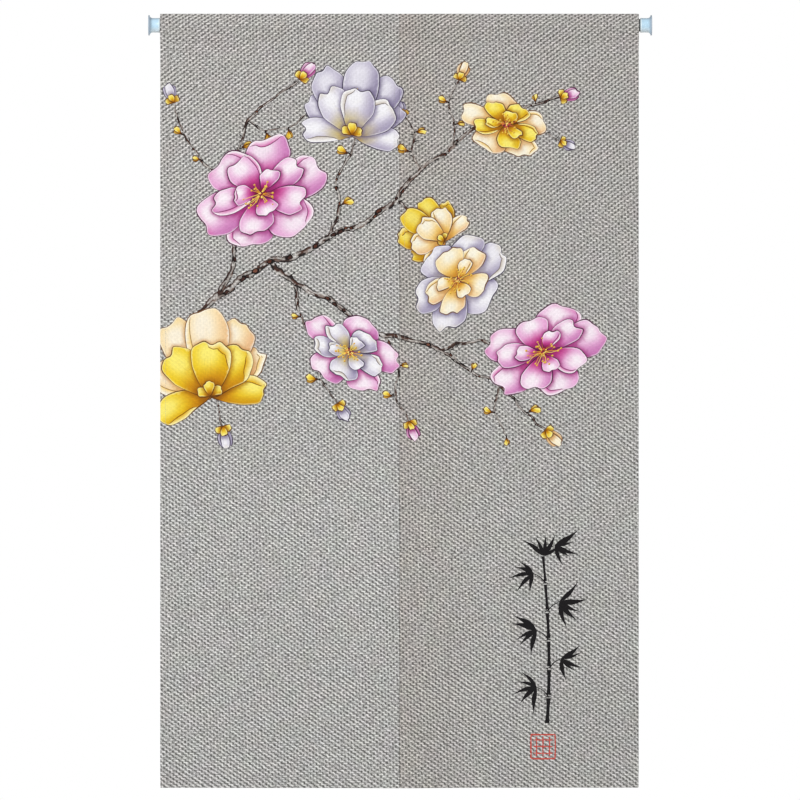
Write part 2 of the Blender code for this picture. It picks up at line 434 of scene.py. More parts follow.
def fill_dots(outline, spacing):
    """Points on a staggered grid inside an outline."""
    low, high = outline.min(axis=0), outline.max(axis=0)
    rows = []
    for number, y in enumerate(np.arange(low[1] + spacing / 2, high[1], spacing * 0.87)):
        x = np.arange(low[0] + spacing / 2 * (number % 2), high[0], spacing)
        rows.append(np.stack([x, np.full_like(x, y)], axis=1))
    if not rows:
        return np.zeros((0, 2))
    dots = np.concatenate(rows)
    dots = dots[within(dots, outline)]
    return dots[distance_to(dots, outline) > spacing * 0.5]


class Patch:
    """One area of the print: its outline, points inside it, and how its places are coloured.

    paint(places) gives the sRGB colour at each place. grain(places) gives (u, v) along which fine
    streaks run, where the area has any. cover is how much of the cloth the ink hides, as a number or
    as a function of places. An area that casts darkens the ones below it towards their colour "under".
    """

    def __init__(self, outline, paint, dots=(), cover=1.0, grain=None, casts=False, under=None):
        self.outline = np.asarray(outline, float)
        self.casts = casts
        self.under = under
        self.over = []
        self.paint = paint
        self.dots = np.asarray(dots, float).reshape(-1, 2)
        self.cover = cover
        self.grain = grain


def flat_colour(colour):
    return lambda places: np.tile(np.array(colour, float), (len(places), 1))


# Petals, with u from side to side, -1 to 1, and v from base to tip, 0 to 1

PETAL_HALF = ((0.10, 0.0), (0.34, 0.09), (0.68, 0.30), (0.96, 0.58), (0.90, 0.83), (0.46, 0.985))
STRAY_OUT = (0.93, 1.05)  # how far these points may be from their places: out, along and at the tip
STRAY_ALONG = 0.02
STRAY_TIP = 0.08
RUFFLES = ((0.018, 5), (0.012, 9))  # depth and number of the waves round a petal's edge
PRESSURES = ((0.45, 2), (0.2, 5))  # the same of the changes in its line's width
PRESSURE_LIMITS = (0.45, 1.7)
LIGHT_FROM = np.array([-0.64, -0.77])  # towards the light in the painting
LINE_WIDTH = 0.00125
RIM_WIDTH = 0.0022
SHADOW_SHIFT = 0.0014
SHADOW_REACH = 0.0060
SHADOW_STRENGTH = 0.72
VEINS = (-0.52, -0.26, 0.26, 0.52)
VEIN_SPREAD = (0.35, 0.9)  # how far apart the veins are at the base, and how much wider at the tip
MIDRIB_WIDTH = 0.06
VEIN_WIDTH = 0.05
FRONT_WAVE = 0.05  # depth and rate of the waves in the front between throat and body, and its curve
FRONT_RATE = 4.0
FRONT_CURVE = 0.06
HOLLOW_AT = 0.77  # the light hollow near the tip
HOLLOW_LENGTH = 0.27
HOLLOW_WIDTH = 0.62
HOLLOW_SHIFT = 0.28
# Strength of each tone laid on a petal, and the zones over which the tones and the ruffles come in
TONES = {"tip": 1.20, "shade": 0.60, "midrib": 0.26, "vein": 0.13, "blush": 0.42, "lip": 0.75}
PETAL_ZONES = {
    "base": (0.06, 0.32),
    "body": (0.24, 0.62),
    "away": (0.10, 0.85),
    "above throat": (0.05, 0.30),
    "midrib": (0.92, 0.30),
    "vein": (0.85, 0.2),
    "blush": (0.86, 1.02),
    "lip": (0.15, 0.5),
    "ruffles": (0.3, 0.8),
}
# Lean in degrees, length and width of each petal of a blossom seen from the side
CUP_BEHIND = {
    "leans": ((-62, 0.56, 0.30), (58, 0.58, 0.30), (-30, 0.72, 0.36), (33, 0.70, 0.36), (3, 0.76, 0.38)),
    "stray": 5, "curl": -1, "bends": (0.1, 0.5), "notch": 0.05, "shaded": 0.30, "lips": (0.5, 0.08),
}
CUP_BEFORE = {
    "leans": ((-88, 0.50, 0.27), (84, 0.48, 0.26), (-38, 0.52, 0.34), (40, 0.50, 0.34), (2, 0.47, 0.36)),
    "stray": 6, "curl": 1, "bends": (0.2, 0.7), "notch": 0.06, "shaded": 0.10, "lips": (0.75, 0.11),
}
OUTER_WHORL = {"length": 0.50, "width": 0.44, "notch": 0.05, "shaded": 0.25, "lips": 0.6}
INNER_WHORL = {"length": 0.37, "width": 0.31, "notch": 0.06, "shaded": 0.12, "lips": 0.5}
HEART_WHORL = {"length": 0.21, "width": 0.19, "notch": 0.04, "shaded": 0.10, "lips": 0.4}
WHORL_RING = 0.035  # radius of the ring on which its petals stand
WHORL_STRAY = 7  # how far each one may be turned
LENGTH_STRAY = (0.93, 1.07)
WIDTH_STRAY = (0.92, 1.08)
BEND_STRAY = 0.35
NOTCH_STRAY = (0.2, 1.4)
# Lean in degrees, length, width and bend of each petal
CALYX = {"leans": ((-46, 0.92, 0.78, -46 / 70), (44, 0.90, 0.78, 44 / 70), (-2, 1.0, 0.78, -2 / 70)),
         "notch": 0.0, "shaded": 0.2}
BUD = {"leans": ((-14, 0.92, 0.50, 14 / 60), (15, 0.90, 0.50, -15 / 60), (1, 1.0, 0.46, -1 / 60)),
       "notch": -0.04, "shaded": 0.15}
SEED_BUD = {"leans": ((-12, 0.86, 0.62, 0.3), (10, 1.0, 0.60, 0.3)), "notch": 0.0, "shaded": 0.1}
HEART = ((0.055, 0), (0, 0.052), (-0.055, 0), (0, -0.055))
HEART_RED = (118, 26, 52)
HEART_SPECKS = ((252, 226, 120), (214, 96, 70))
HEART_SPECK_COUNT = 9
STAMEN_TONES = ((226, 160, 40), (246, 214, 96), (188, 92, 60))
STAMEN_WIDTHS = (0.0011, 0.0007)
ANTHER_SIZES = (0.0014, 0.0021)
ANTHER = (252, 222, 92)
ANTHER_RIM = (176, 104, 20)
STALK_BROWN = (70, 40, 22)


def palette(*colours):
    """The colours of a petal by name."""
    return dict(zip(("throat", "base", "body", "tip", "shade", "lip", "line", "under"), colours))


PINK = palette((118, 10, 66), (192, 52, 132), (232, 158, 210), (255, 247, 252),
               (186, 104, 168), (255, 250, 253), (84, 30, 68), (146, 40, 108))
GOLD = palette((128, 70, 4), (202, 134, 6), (240, 200, 20), (255, 242, 122),
               (190, 124, 8), (255, 246, 186), (98, 56, 10), (150, 90, 6))
CREAM = palette((196, 124, 24), (238, 186, 74), (252, 226, 166), (255, 251, 232),
                (228, 172, 128), (255, 252, 240), (118, 80, 44), (196, 138, 76))
LILAC = palette((180, 140, 40), (206, 190, 140), (204, 197, 216), (251, 250, 253),
                (146, 136, 168), (254, 253, 255), (78, 70, 90), (116, 106, 140))
GREY_LILAC = palette((92, 80, 120), (142, 132, 166), (194, 187, 208), (246, 244, 250),
                     (126, 116, 150), (251, 250, 253), (68, 60, 82), (102, 92, 124))


def in_zone(name, value):
    """How far a value has come through one of a petal's zones, 0 to 1."""
    return smooth_step(value, *PETAL_ZONES[name])


def waves_round(count, waves, dice, base):
    """Values at points round an outline: a base with waves added, each one from a random start."""
    around = np.linspace(0, math.tau, count, endpoint=False)
    return sum((depth * np.sin(number * around + dice.uniform(0, 6)) for depth, number in waves), base)


class Petal:
    """One petal of the print, laid out along its own midrib."""

    def __init__(self, base, heading, length, width, bend, squeeze, dice):
        self.base = np.array(base, float)
        self.length, self.width = length, width
        self.curve = bend / length if abs(bend) > 1e-3 else 1e-3 / length
        along = way_of(heading)
        self.right = np.array([-along[1], along[0]])
        self.frame = squeeze @ np.stack([self.right, along], axis=1)
        self.back = np.linalg.inv(self.frame)
        self.dice = dice

    def place(self, u, v):
        """Flat places of petal places."""
        offset, along = np.asarray(u) * self.width / 2, np.asarray(v) * self.length
        ring = 1 / self.curve - offset
        angle = self.curve * along
        local = np.stack([1 / self.curve - ring * np.cos(angle), ring * np.sin(angle)], axis=-1)
        return self.base + local @ self.frame.T

    def read(self, places):
        """(u, v) of flat places."""
        local = (places - self.base) @ self.back.T
        centre = 1 / self.curve
        turn = 1.0 if self.curve > 0 else -1.0
        ring = np.hypot(centre - local[:, 0], local[:, 1]) * turn
        angle = np.arctan2(local[:, 1] * turn, (centre - local[:, 0]) * turn)
        return (centre - ring) / (self.width / 2), angle / self.curve / self.length

    def half_edge(self, side):
        """Points of one side of the edge, each a little out of place."""
        dice = self.dice
        return [(side * u * dice.uniform(*STRAY_OUT), v + dice.uniform(-STRAY_ALONG, STRAY_ALONG))
                for u, v in PETAL_HALF]

    def outline(self, notch):
        """The petal's edge, slightly uneven, with a soft notch or point at its tip."""
        right = self.half_edge(1)
        left = self.half_edge(-1)
        tip = (self.dice.uniform(-STRAY_TIP, STRAY_TIP), 1.0 - notch)
        edge = closed_curve([*right, tip, *left[::-1]], 4)
        ruffle = waves_round(len(edge), RUFFLES, self.dice, 0)
        edge = edge * (1 + ruffle * in_zone("ruffles", edge[:, 1]))[:, None]
        return self.place(edge[:, 0], edge[:, 1])


def petal_patches(petal, colours, notch, shaded=0.0, lip=None):
    """A petal as areas of the print: its line, its body and, where it curls, its folded edge."""
    dice = petal.dice
    edge = petal.outline(notch)
    pressure = waves_round(len(edge), PRESSURES, dice, 1)
    body = inset(edge, LINE_WIDTH * np.clip(pressure, *PRESSURE_LIMITS))
    rim = inset(body, RIM_WIDTH)
    slope = float(petal.right @ LIGHT_FROM)
    streaks = dice.uniform(0, 50)
    blush = dice.choice((0.0, 0.6, 1.0))

    def paint(places):
        u, v = petal.read(places)
        u = np.clip(u, -1.2, 1.2)
        # From the dark throat to the body, along a wavy front
        front = v + FRONT_WAVE * np.sin(FRONT_RATE * u + streaks) + FRONT_CURVE * u * u
        colour = blend(colours["throat"], colours["base"], in_zone("base", front))
        colour = blend(colour, colours["body"], in_zone("body", front))
        # Light in the hollow near the tip, and shade on the side away from the light
        aside, along = (u - HOLLOW_SHIFT * slope) / HOLLOW_WIDTH, (v - HOLLOW_AT) / HOLLOW_LENGTH
        colour = blend(colour, colours["tip"], np.clip(TONES["tip"] * np.exp(-(aside**2) - along**2), 0, 1))
        away = in_zone("away", -u * slope) * in_zone("above throat", v)
        shade = TONES["shade"] * away + shaded * (1 - 0.7 * v)
        colour = blend(colour, colours["shade"], np.clip(shade, 0, 1))
        # The midrib, finer veins that spread from the base, and a blush at the tip
        vein = hump(u, 0, MIDRIB_WIDTH) * in_zone("midrib", v) * TONES["midrib"]
        spread = VEIN_SPREAD[0] + VEIN_SPREAD[1] * v
        for at in VEINS:
            vein = vein + hump(u, at * spread, VEIN_WIDTH) * in_zone("vein", v) * TONES["vein"]
        colour = blend(colour, colours["base"], vein)
        colour = blend(colour, colours["base"], TONES["blush"] * in_zone("blush", v) * blush)
        edge_near = np.clip(1 - distance_to(places, body) / RIM_WIDTH, 0, 1)
        return blend(colour, colours["lip"], TONES["lip"] * edge_near * in_zone("lip", v))

    def grain(places):
        """Streaks along the petal: many to its width and few to its length."""
        u, v = petal.read(places)
        across = np.clip(u, -1.5, 1.5) * petal.width * 500 + streaks
        return np.stack([across, v * petal.length * 60], axis=1)

    spacing = max(0.0034, min(petal.length, petal.width) / 8)
    dots = np.concatenate([rim, fill_dots(inset(rim, 0.5 * spacing), spacing)])
    patches = [
        Patch(edge, flat_colour(colours["line"]), casts=True),
        Patch(body, paint, dots, grain=grain, under=colours["under"]),
    ]
    if lip:
        patches += folded_edge(petal, body, colours, lip)
    return patches


def folded_edge(petal, body, colours, lip):
    """A stretch of a petal's edge turned over, lighter than the face, with a shadow under it."""
    start, end, width = lip
    count = len(body)
    chosen = [index % count for index in range(round(start * count), round(end * count) + 1)]
    run = body[chosen]
    inward = inward_normals(body)[chosen]
    swell = np.sin(np.linspace(0, math.pi, len(run))) ** 0.7 * width * petal.length
    fold = run + inward * swell[:, None]
    shadow = run + inward * (swell + LINE_WIDTH * 1.1 * (swell > 0))[:, None]
    tint = blend(colours["line"], colours["base"], 0.35)

    def paint(places):
        near = np.min(np.linalg.norm(places[:, None] - run[None], axis=2), axis=1)
        share = np.clip(near / np.maximum(swell.max(), 1e-6), 0, 1)
        return blend(colours["lip"], blend(colours["body"], colours["base"], 0.45), share**1.2)

    middle = run + inward * (swell * 0.5)[:, None]
    return [
        Patch(np.concatenate([run, shadow[::-1][1:-1]]), flat_colour(tint)),
        Patch(np.concatenate([run, fold[::-1][1:-1]]), paint, middle[2:-2]),
    ]


def squeeze_along(heading, share):
    """A matrix that shortens the print along a heading, as a tilted flower is seen."""
    along = way_of(heading)
    return np.eye(2) - share * np.outer(along, along)


def some_lip(dice, chance, width):
    """Where along its outline a petal is turned over, or nothing."""
    if dice.random() > chance:
        return None
    start = dice.choice((0.13, 0.22, 0.34, 0.50, 0.58))
    return (start, start + dice.uniform(0.20, 0.30), width * dice.uniform(0.7, 1.2))


def whorl(flower, first, count, colours, row):
    """One ring of petals, laid one over the next. flower is its centre, size, squeeze and dice."""
    centre, size, squeeze, dice = flower
    patches = []
    order = list(range(count))
    dice.shuffle(order)
    for number in order:
        heading = first + 360 / count * number + dice.uniform(-WHORL_STRAY, WHORL_STRAY)
        base = centre + squeeze @ way_of(heading) * size * WHORL_RING
        reach = row["length"] * size * dice.uniform(*LENGTH_STRAY)
        breadth = row["width"] * size * dice.uniform(*WIDTH_STRAY)
        bend = dice.uniform(-BEND_STRAY, BEND_STRAY)
        petal = Petal(base, heading, reach, breadth, bend, squeeze, dice)
        lip = some_lip(dice, row["lips"], 0.09)
        notch = row["notch"] * dice.uniform(*NOTCH_STRAY)
        patches += petal_patches(petal, colours, notch, row["shaded"] * dice.uniform(0.4, 1), lip)
    return patches


def strip(line, widths, paint, cover=1.0):
    """A stroke of changing width along a line."""
    sides = line_normals(line, False) * (np.asarray(widths) / 2)[:, None]
    outline = np.concatenate([line + sides, (line - sides)[::-1]])
    return Patch(outline, paint, line[1:-1], cover)


def dot(at, radius, colour, rim=None, sides=8):
    """A small round spot, lighter towards the light where a rim colour is given."""
    at = np.asarray(at, float)
    angles = np.linspace(0, math.tau, sides, endpoint=False)
    outline = at + radius * np.stack([np.cos(angles), np.sin(angles)], axis=1)
    if rim is None:
        return Patch(outline, flat_colour(colour))

    def paint(places):
        lit = (places - at) @ LIGHT_FROM / radius
        return blend(rim, colour, smooth_step(lit, -0.9, 0.7))

    return Patch(outline, paint, [at])


def stamens(flower, spread=(0, 360), count=22, reach=(0.07, 0.17)):
    """A dark heart with fine golden threads, each with its anther."""
    centre, size, squeeze, dice = flower
    heart = centre + (closed_curve(HEART, 5) * size) @ squeeze.T
    patches = [Patch(heart, flat_colour(HEART_RED))]
    for _ in range(count):
        way = squeeze @ way_of(dice.uniform(*spread))
        length = dice.uniform(*reach) * size
        side = beside(way) * dice.uniform(-0.25, 0.25)
        points = [centre + way * 0.02 * size, centre + way * length * 0.55, centre + (way + side) * length]
        line = open_curve(points, length / 3)
        tone = dice.choice(STAMEN_TONES)
        patches.append(strip(line, np.linspace(*STAMEN_WIDTHS, len(line)), flat_colour(tone)))
        patches.append(dot(line[-1], dice.uniform(*ANTHER_SIZES), ANTHER, ANTHER_RIM, 7))
    for _ in range(HEART_SPECK_COUNT):
        turn, far = dice.uniform(0, math.tau), dice.uniform(0, 0.045) * size
        at = centre + squeeze @ np.array([math.cos(turn), math.sin(turn)]) * far
        patches.append(dot(at, 0.0012, dice.choice(HEART_SPECKS), sides=6))
    return patches


def open_blossom(at, size, heading, tilt, outer, inner, seed):
    """A blossom seen from above its heart, in rings of petals."""
    dice = random.Random(seed)
    flower = (at, size, squeeze_along(heading, tilt), dice)
    count = dice.choice((5, 6))
    first = dice.uniform(0, 60)
    patches = whorl(flower, first, count, outer, OUTER_WHORL)
    patches += whorl(flower, first + 180 / count, 5, inner, INNER_WHORL)
    patches += whorl(flower, first + 20, 3, inner, HEART_WHORL)
    return patches + stamens(flower)


def cup_row(base, size, heading, colours, row, dice):
    """One row of petals of a blossom seen from the side."""
    patches = []
    for lean, length, width in row["leans"]:
        angle = heading + lean + dice.uniform(-row["stray"], row["stray"])
        bend = row["curl"] * lean / 90 * dice.uniform(*row["bends"])
        petal = Petal(base, angle, length * size, width * size, bend, np.eye(2), dice)
        notch = dice.uniform(0, row["notch"])
        patches += petal_patches(petal, colours, notch, row["shaded"], some_lip(dice, *row["lips"]))
    return patches


def cup_blossom(base, size, heading, outer, inner, seed):
    """A blossom seen from the side: petals behind, stamens, and petals in front."""
    dice = random.Random(seed)
    patches = cup_row(base, size, heading, inner, CUP_BEHIND, dice)
    heart = base + way_of(heading) * size * 0.30
    patches += stamens((heart, size, np.eye(2), dice), (heading - 60, heading + 60), 16, (0.06, 0.16))
    patches += cup_row(base, size, heading, outer, CUP_BEFORE, dice)
    return patches + leaning_petals(base, size * 0.13, heading, GOLD, CALYX, dice)


def leaning_petals(at, size, heading, colours, row, dice):
    """Small petals on one foot, each at its own lean."""
    patches = []
    for lean, length, width, bend in row["leans"]:
        petal = Petal(at, heading + lean, size * length, size * width, bend, np.eye(2), dice)
        patches += petal_patches(petal, colours, row["notch"], row["shaded"])
    return patches


def bud(at, size, heading, colours, seed):
    """A closed bud: three petals wrapped over each other on a calyx of golden scales."""
    dice = random.Random(seed)
    patches = leaning_petals(at, size, heading, colours, BUD, dice)
    return patches + leaning_petals(at, size * 0.46, heading, GOLD, CALYX, dice)


def seed_bud(at, size, heading, seed):
    """A small golden bud standing on a dark stalk."""
    dice = random.Random(seed)
    patches = spur(at, heading, size * 0.55, dice)
    foot = at + way_of(heading) * size * 0.35
    patches += leaning_petals(foot, size, heading, GOLD, SEED_BUD, dice)
    return patches + [dot(foot, size * 0.13, STALK_BROWN, sides=7)]


# Twigs

BARK = ((24, 17, 16), (80, 50, 40), (150, 136, 128), (218, 212, 206))
BARK_ZONES = ((0.05, 0.30), (0.30, 0.62), (0.62, 0.95))  # tones over which one turns into the next
BARE_WOOD = 0.55  # how much of the cloth shows through the light marks of a twig
BARE_ZONE = (0.45, 0.80)
BARK_COVER = 0.98
BARK_LANES = 5  # lines of marks side by side along a twig
EDGE_LANE = (0.88, 0.10)  # chance of a dark mark in a lane, and the lightest tone of one
MIDDLE_LANE = (0.34, 0.34)
LIT_SIDE = 0.16
BARK_BROWN = ((84, 46, 34), (118, 74, 58), (66, 40, 34))
SPUR_EVERY = 7  # points of a twig from one spur or knot to the next, about
JOG_EVERY = 6  # points from one kink to the next
JOG = 0.0026
TWIG_STEP = 0.0024
TWIG_WANDER = 0.24  # how much its width changes from point to point, and the least and most of it
TWIG_LIMITS = (0.6, 1.5)
WIDE_TWIG = 0.006
WIDE_DOTS = (-0.76, -0.38, 0.0, 0.38, 0.76)
NARROW_DOTS = (-0.5, 0.0, 0.5)
SPUR_CHANCE = 0.6
SPUR_ANGLES = (28, 70)
SPUR_REACH = (0.003, 0.008)
SPUR_WIDTHS = (0.0026, 0.0010)
KNOT_SIZES = (0.34, 0.54)
KNOT_CORNERS = 9
KNOT_REACH = (0.60, 1.25)
KNOT_LENGTH = 1.35
KNOT_WIDTH = 0.85
KNOT_HEART = 0.55


def bark_marks(dice, count):
    """Tones of the marks along each lane of a twig: broken strokes, darkest along both edges."""
    lanes = []
    for lane in range(BARK_LANES):
        chance, lightest = EDGE_LANE if lane in (0, BARK_LANES - 1) else MIDDLE_LANE
        tones = []
        while len(tones) < count:
            if dice.random() < chance:
                tones += [dice.uniform(0.0, lightest)] * dice.randint(2, 6)
            else:
                tones += [dice.uniform(0.50, 1.0)] * dice.randint(1, 4)
        lanes.append(tones[:count])
    return np.array(lanes)


def jogged(line, dice):
    """A line with the small kinks of a twig, from one joint to the next."""
    count = len(line)
    joints = np.arange(0, count + JOG_EVERY, JOG_EVERY)
    offset = np.interp(np.arange(count), joints, [dice.uniform(-1, 1) * JOG for _ in joints])
    return line + line_normals(line, False) * offset[:, None]


def twig(points, thick, thin, seed):
    """A knotty twig of broken strokes, with knots and short spurs along it."""
    dice = random.Random(seed)
    line = jogged(open_curve(points, TWIG_STEP), dice)
    count = len(line)
    share = np.linspace(0, 1, count)
    wander = np.array([dice.gauss(0, 1) for _ in range(count)])
    wander = np.convolve(np.pad(wander, 1, mode="edge"), np.ones(3) / 3, mode="valid")
    off = line_normals(line, False)
    width = (thick + (thin - thick) * share) * np.clip(1 + TWIG_WANDER * wander, *TWIG_LIMITS)
    width[-1] = width[-1] * 0.5
    marks = bark_marks(dice, count)

    def read(places):
        """How light the bark is at each place, 0 to 1."""
        nearest = np.argmin(np.linalg.norm(places[:, None] - line[None], axis=2), axis=1)
        side = np.sum((places - line[nearest]) * off[nearest], axis=1) / (width[nearest] / 2)
        lane = np.clip(np.rint((side + 1) * (BARK_LANES - 1) / 2), 0, BARK_LANES - 1).astype(int)
        raised = side * (off[nearest] @ LIGHT_FROM)
        return np.clip(marks[lane, nearest] + LIT_SIDE * raised, 0, 1)

    def cover(places):
        return BARK_COVER - BARE_WOOD * smooth_step(read(places), *BARE_ZONE)

    def paint(places):
        tone = read(places)
        colour = BARK[0]
        for lighter, zone in zip(BARK[1:], BARK_ZONES):
            colour = blend(colour, lighter, smooth_step(tone, *zone))
        return colour

    sides = off * (width / 2)[:, None]
    outline = np.concatenate([line + sides, (line - sides)[::-1]])
    shifts = WIDE_DOTS if thick > WIDE_TWIG else NARROW_DOTS
    dots = np.concatenate([(line + sides * shift)[1:-1] for shift in shifts])
    spurs, knots = twig_growth(line, off, width, dice)
    return [*spurs, Patch(outline, paint, dots, cover), *knots]


def twig_growth(line, off, width, dice):
    """Spurs and knots along a twig, at uneven distances."""
    spurs, knots = [], []
    at = dice.randint(2, SPUR_EVERY)
    while at < len(line) - 3:
        way = line[at + 1] - line[at]
        turn = dice.choice((-1, 1)) * dice.uniform(*SPUR_ANGLES)
        heading = math.degrees(math.atan2(way[0], -way[1])) + turn
        if dice.random() < SPUR_CHANCE:
            spurs += spur(line[at], heading, width[at] / 2 + dice.uniform(*SPUR_REACH), dice)
        else:
            place = line[at] + off[at] * width[at] * dice.uniform(-0.3, 0.3)
            knots += knot(place, way, width[at] * dice.uniform(*KNOT_SIZES), dice)
        at += round(SPUR_EVERY * dice.uniform(0.5, 1.5))
    return spurs, knots


def spur(at, heading, length, dice):
    """A short side shoot, pointed at its end."""
    way = way_of(heading) * length
    side = beside(way) * dice.uniform(-0.3, 0.3)
    line = open_curve([at, at + way * 0.55 + side * 0.5, at + way + side], length / 4)
    return [strip(line, np.linspace(*SPUR_WIDTHS, len(line)), flat_colour(BARK[0]))]


def knot(at, way, radius, dice):
    """A clump of dark bark, longer along the twig, with a brown patch in it."""
    along = way / np.linalg.norm(way)
    turn = np.stack([along, beside(along)], axis=1)
    angles = np.linspace(0, math.tau, KNOT_CORNERS, endpoint=False)
    reach = [dice.uniform(*KNOT_REACH) for _ in angles]
    corners = [(r * KNOT_LENGTH * math.cos(a), r * KNOT_WIDTH * math.sin(a)) for a, r in zip(angles, reach)]
    shape = closed_curve(corners, 2) @ turn.T
    brown = BARK_BROWN[dice.randrange(len(BARK_BROWN))]
    shift = radius * np.array([dice.uniform(-0.2, 0.2), dice.uniform(-0.2, 0.2)])
    return [
        Patch(at + shape * radius, flat_colour(BARK[0])),
        Patch(at + shape * radius * KNOT_HEART + shift, flat_colour(brown), [at + shift]),
    ]


# Ink sprig and lattice mark

INK = (22, 20, 22)
MARK_RED = (196, 62, 48)
MARK_COVER = 0.88
STALK_JOINTS = 7
STALK_WIDTH = 0.0070
STALK_LEAN = 0.010
JOINT_GAP = 0.0028
STALK_PRESSURE = (1.15, 0.82, 0.78, 0.85, 1.1)
RING_WIDTHS = (0.0006, 0.0018, 0.0020, 0.0016, 0.0006)
SHOOT = ((0.009, -0.010), (0.020, -0.016))  # its middle and its end, from the joint
SHOOT_WIDTHS = (0.0022, 0.0016, 0.0012)
LEAF_PRESSURE = (0.75, 1.0, 0.7, 0.3)
LEAF_FAN = (50, 29)  # heading of a shoot's first leaf, and from each one to the next
LEAF_STRAY = 9
LEAF_LENGTHS = (0.030, 0.047)
LEAF_SHARES = (0.17, 0.23)  # width over length
TOP_LEAVES = (-52, -22, 6, 30, 58)  # headings
TOP_LENGTHS = (0.032, 0.044)
TOP_SHARE = 0.19
BRUSH_STEP = 0.0028
FINE_INK = 0.0004
FRAME_STROKE = 0.0026
LATTICE_STROKE = 0.0021
LATTICE_LINES = (-0.55, 0.0, 0.55)
LATTICE_REACH = 0.80
MARK_STEP = 0.004
MARK_STRAY = 0.0005
MARK_PRESSURE = (0.72, 1.2)


def brush(points, widths):
    """One stroke of a brush: a smooth line whose width runs through the given values."""
    line = open_curve(points, BRUSH_STEP)
    share = np.linspace(0, 1, len(line))
    width = np.interp(share, np.linspace(0, 1, len(widths)), widths)
    return strip(line, np.maximum(width, FINE_INK), flat_colour(INK))


def ink_leaf(at, heading, length, width):
    way = way_of(heading)
    at = np.array(at, float)
    points = [at, at + way * length * 0.5 + beside(way) * length * 0.05, at + way * length]
    return brush(points, (0.0006, *(width * share for share in LEAF_PRESSURE), FINE_INK))


def ink_sprig(across, top, bottom):
    """A jointed stalk drawn in black ink, with brushed leaves."""
    dice = random.Random(77)
    patches = []
    joints = np.linspace(bottom, top, STALK_JOINTS)

    def lean(down):
        """Where the stalk stands across."""
        return across + STALK_LEAN * math.sin((down - top) / (bottom - top) * 2.4)

    for low, high in zip(joints, joints[1:]):
        width = STALK_WIDTH * (0.62 + 0.38 * (low - top) / (bottom - top))
        middle = (low + high) / 2
        points = [(lean(low), low - JOINT_GAP), (lean(middle), middle), (lean(high), high + JOINT_GAP)]
        patches.append(brush(points, [width * share for share in STALK_PRESSURE]))
        half = width * 0.9
        at = lean(high)
        ring = [(at - half, high + 0.0012), (at, high - 0.0006), (at + half, high + 0.0010)]
        patches.append(brush(ring, RING_WIDTHS))
    for number, down in enumerate(joints[1:]):
        side = 1 if number % 2 else -1
        start = lean(down)
        middle, end = [(start + side * out, down + rise) for out, rise in SHOOT]
        patches.append(brush([(start, down), middle, end], SHOOT_WIDTHS))
        for leaf in range(5):
            heading = side * (LEAF_FAN[0] + LEAF_FAN[1] * leaf) + dice.uniform(-LEAF_STRAY, LEAF_STRAY)
            length = dice.uniform(*LEAF_LENGTHS)
            patches.append(ink_leaf(end, heading, length, length * dice.uniform(*LEAF_SHARES)))
    for heading in TOP_LEAVES:
        length = dice.uniform(*TOP_LENGTHS)
        patches.append(ink_leaf((lean(top), top + 0.002), heading, length, length * TOP_SHARE))
    return patches


def lattice_mark(centre, size):
    """A square frame of red strokes with a plain lattice in it."""
    dice = random.Random(5)
    patches = []
    half = size / 2

    def wobble():
        return dice.uniform(-MARK_STRAY, MARK_STRAY)

    def stroke(start, end, width):
        middle = ((start[0] + end[0]) / 2 + wobble(), (start[1] + end[1]) / 2 + wobble())
        line = open_curve([start, middle, end], MARK_STEP)
        widths = [width * dice.uniform(*MARK_PRESSURE) for _ in line]
        patches.append(strip(line + np.array(centre), widths, flat_colour(MARK_RED), MARK_COVER))

    for side in (-1, 1):
        stroke((-half, side * half), (half, side * half), FRAME_STROKE)
        stroke((side * half, -half), (side * half, half), FRAME_STROKE)
    reach = half * LATTICE_REACH
    for share in LATTICE_LINES:
        at = share * half
        stroke((-reach, at), (reach, at), LATTICE_STROKE)
        stroke((at, -reach), (at, reach), LATTICE_STROKE)
    return patches


# The spray of blossoms, in millimetres across and down the curtain

# Thickness at the foot and at the tip, and the line
BOUGHS = (
    (13.0, 4.6, ((-4, 560), (44, 522), (91, 479), (142, 440), (183, 416), (238, 402), (284, 371), (340, 350),
                 (392, 312), (436, 262), (484, 228), (530, 190), (576, 175), (628, 152), (668, 141))),
    (10.5, 3.6, ((183, 416), (226, 452), (284, 479), (330, 516), (376, 538), (424, 546), (468, 563),
                 (520, 600), (568, 622), (612, 668), (643, 697))),
    (9.5, 3.4, ((91, 479), (118, 430), (125, 379), (110, 330), (108, 279), (132, 226), (150, 178),
                (190, 140), (233, 111))),
    (6.5, 3.6, ((284, 371), (300, 322), (296, 280), (318, 236), (330, 196))),
    (5.8, 3.0, ((376, 538), (398, 590), (392, 640), (416, 682))),
    (5.6, 2.8, ((108, 279), (70, 246), (40, 204), (22, 150))),
    (4.8, 2.6, ((484, 228), (492, 186), (484, 150), (500, 112))),
    (6.2, 2.8, ((44, 522), (58, 580), (92, 640), (104, 690))),
    (5.8, 3.6, ((468, 563), (520, 548), (566, 552), (612, 540))),
    (6.4, 3.0, ((226, 452), (236, 508), (262, 560), (268, 612), (296, 652))),
    (4.2, 2.6, ((150, 178), (176, 196), (214, 190), (244, 172))),
    (4.4, 2.6, ((568, 622), (560, 668), (578, 706))),
    (4.4, 2.6, ((576, 175), (606, 196), (640, 198), (668, 214))),
    (5.4, 3.6, ((392, 312), (420, 330), (452, 344), (480, 376))),
    (4.2, 2.6, ((436, 262), (420, 232), (424, 200), (408, 172))),
)

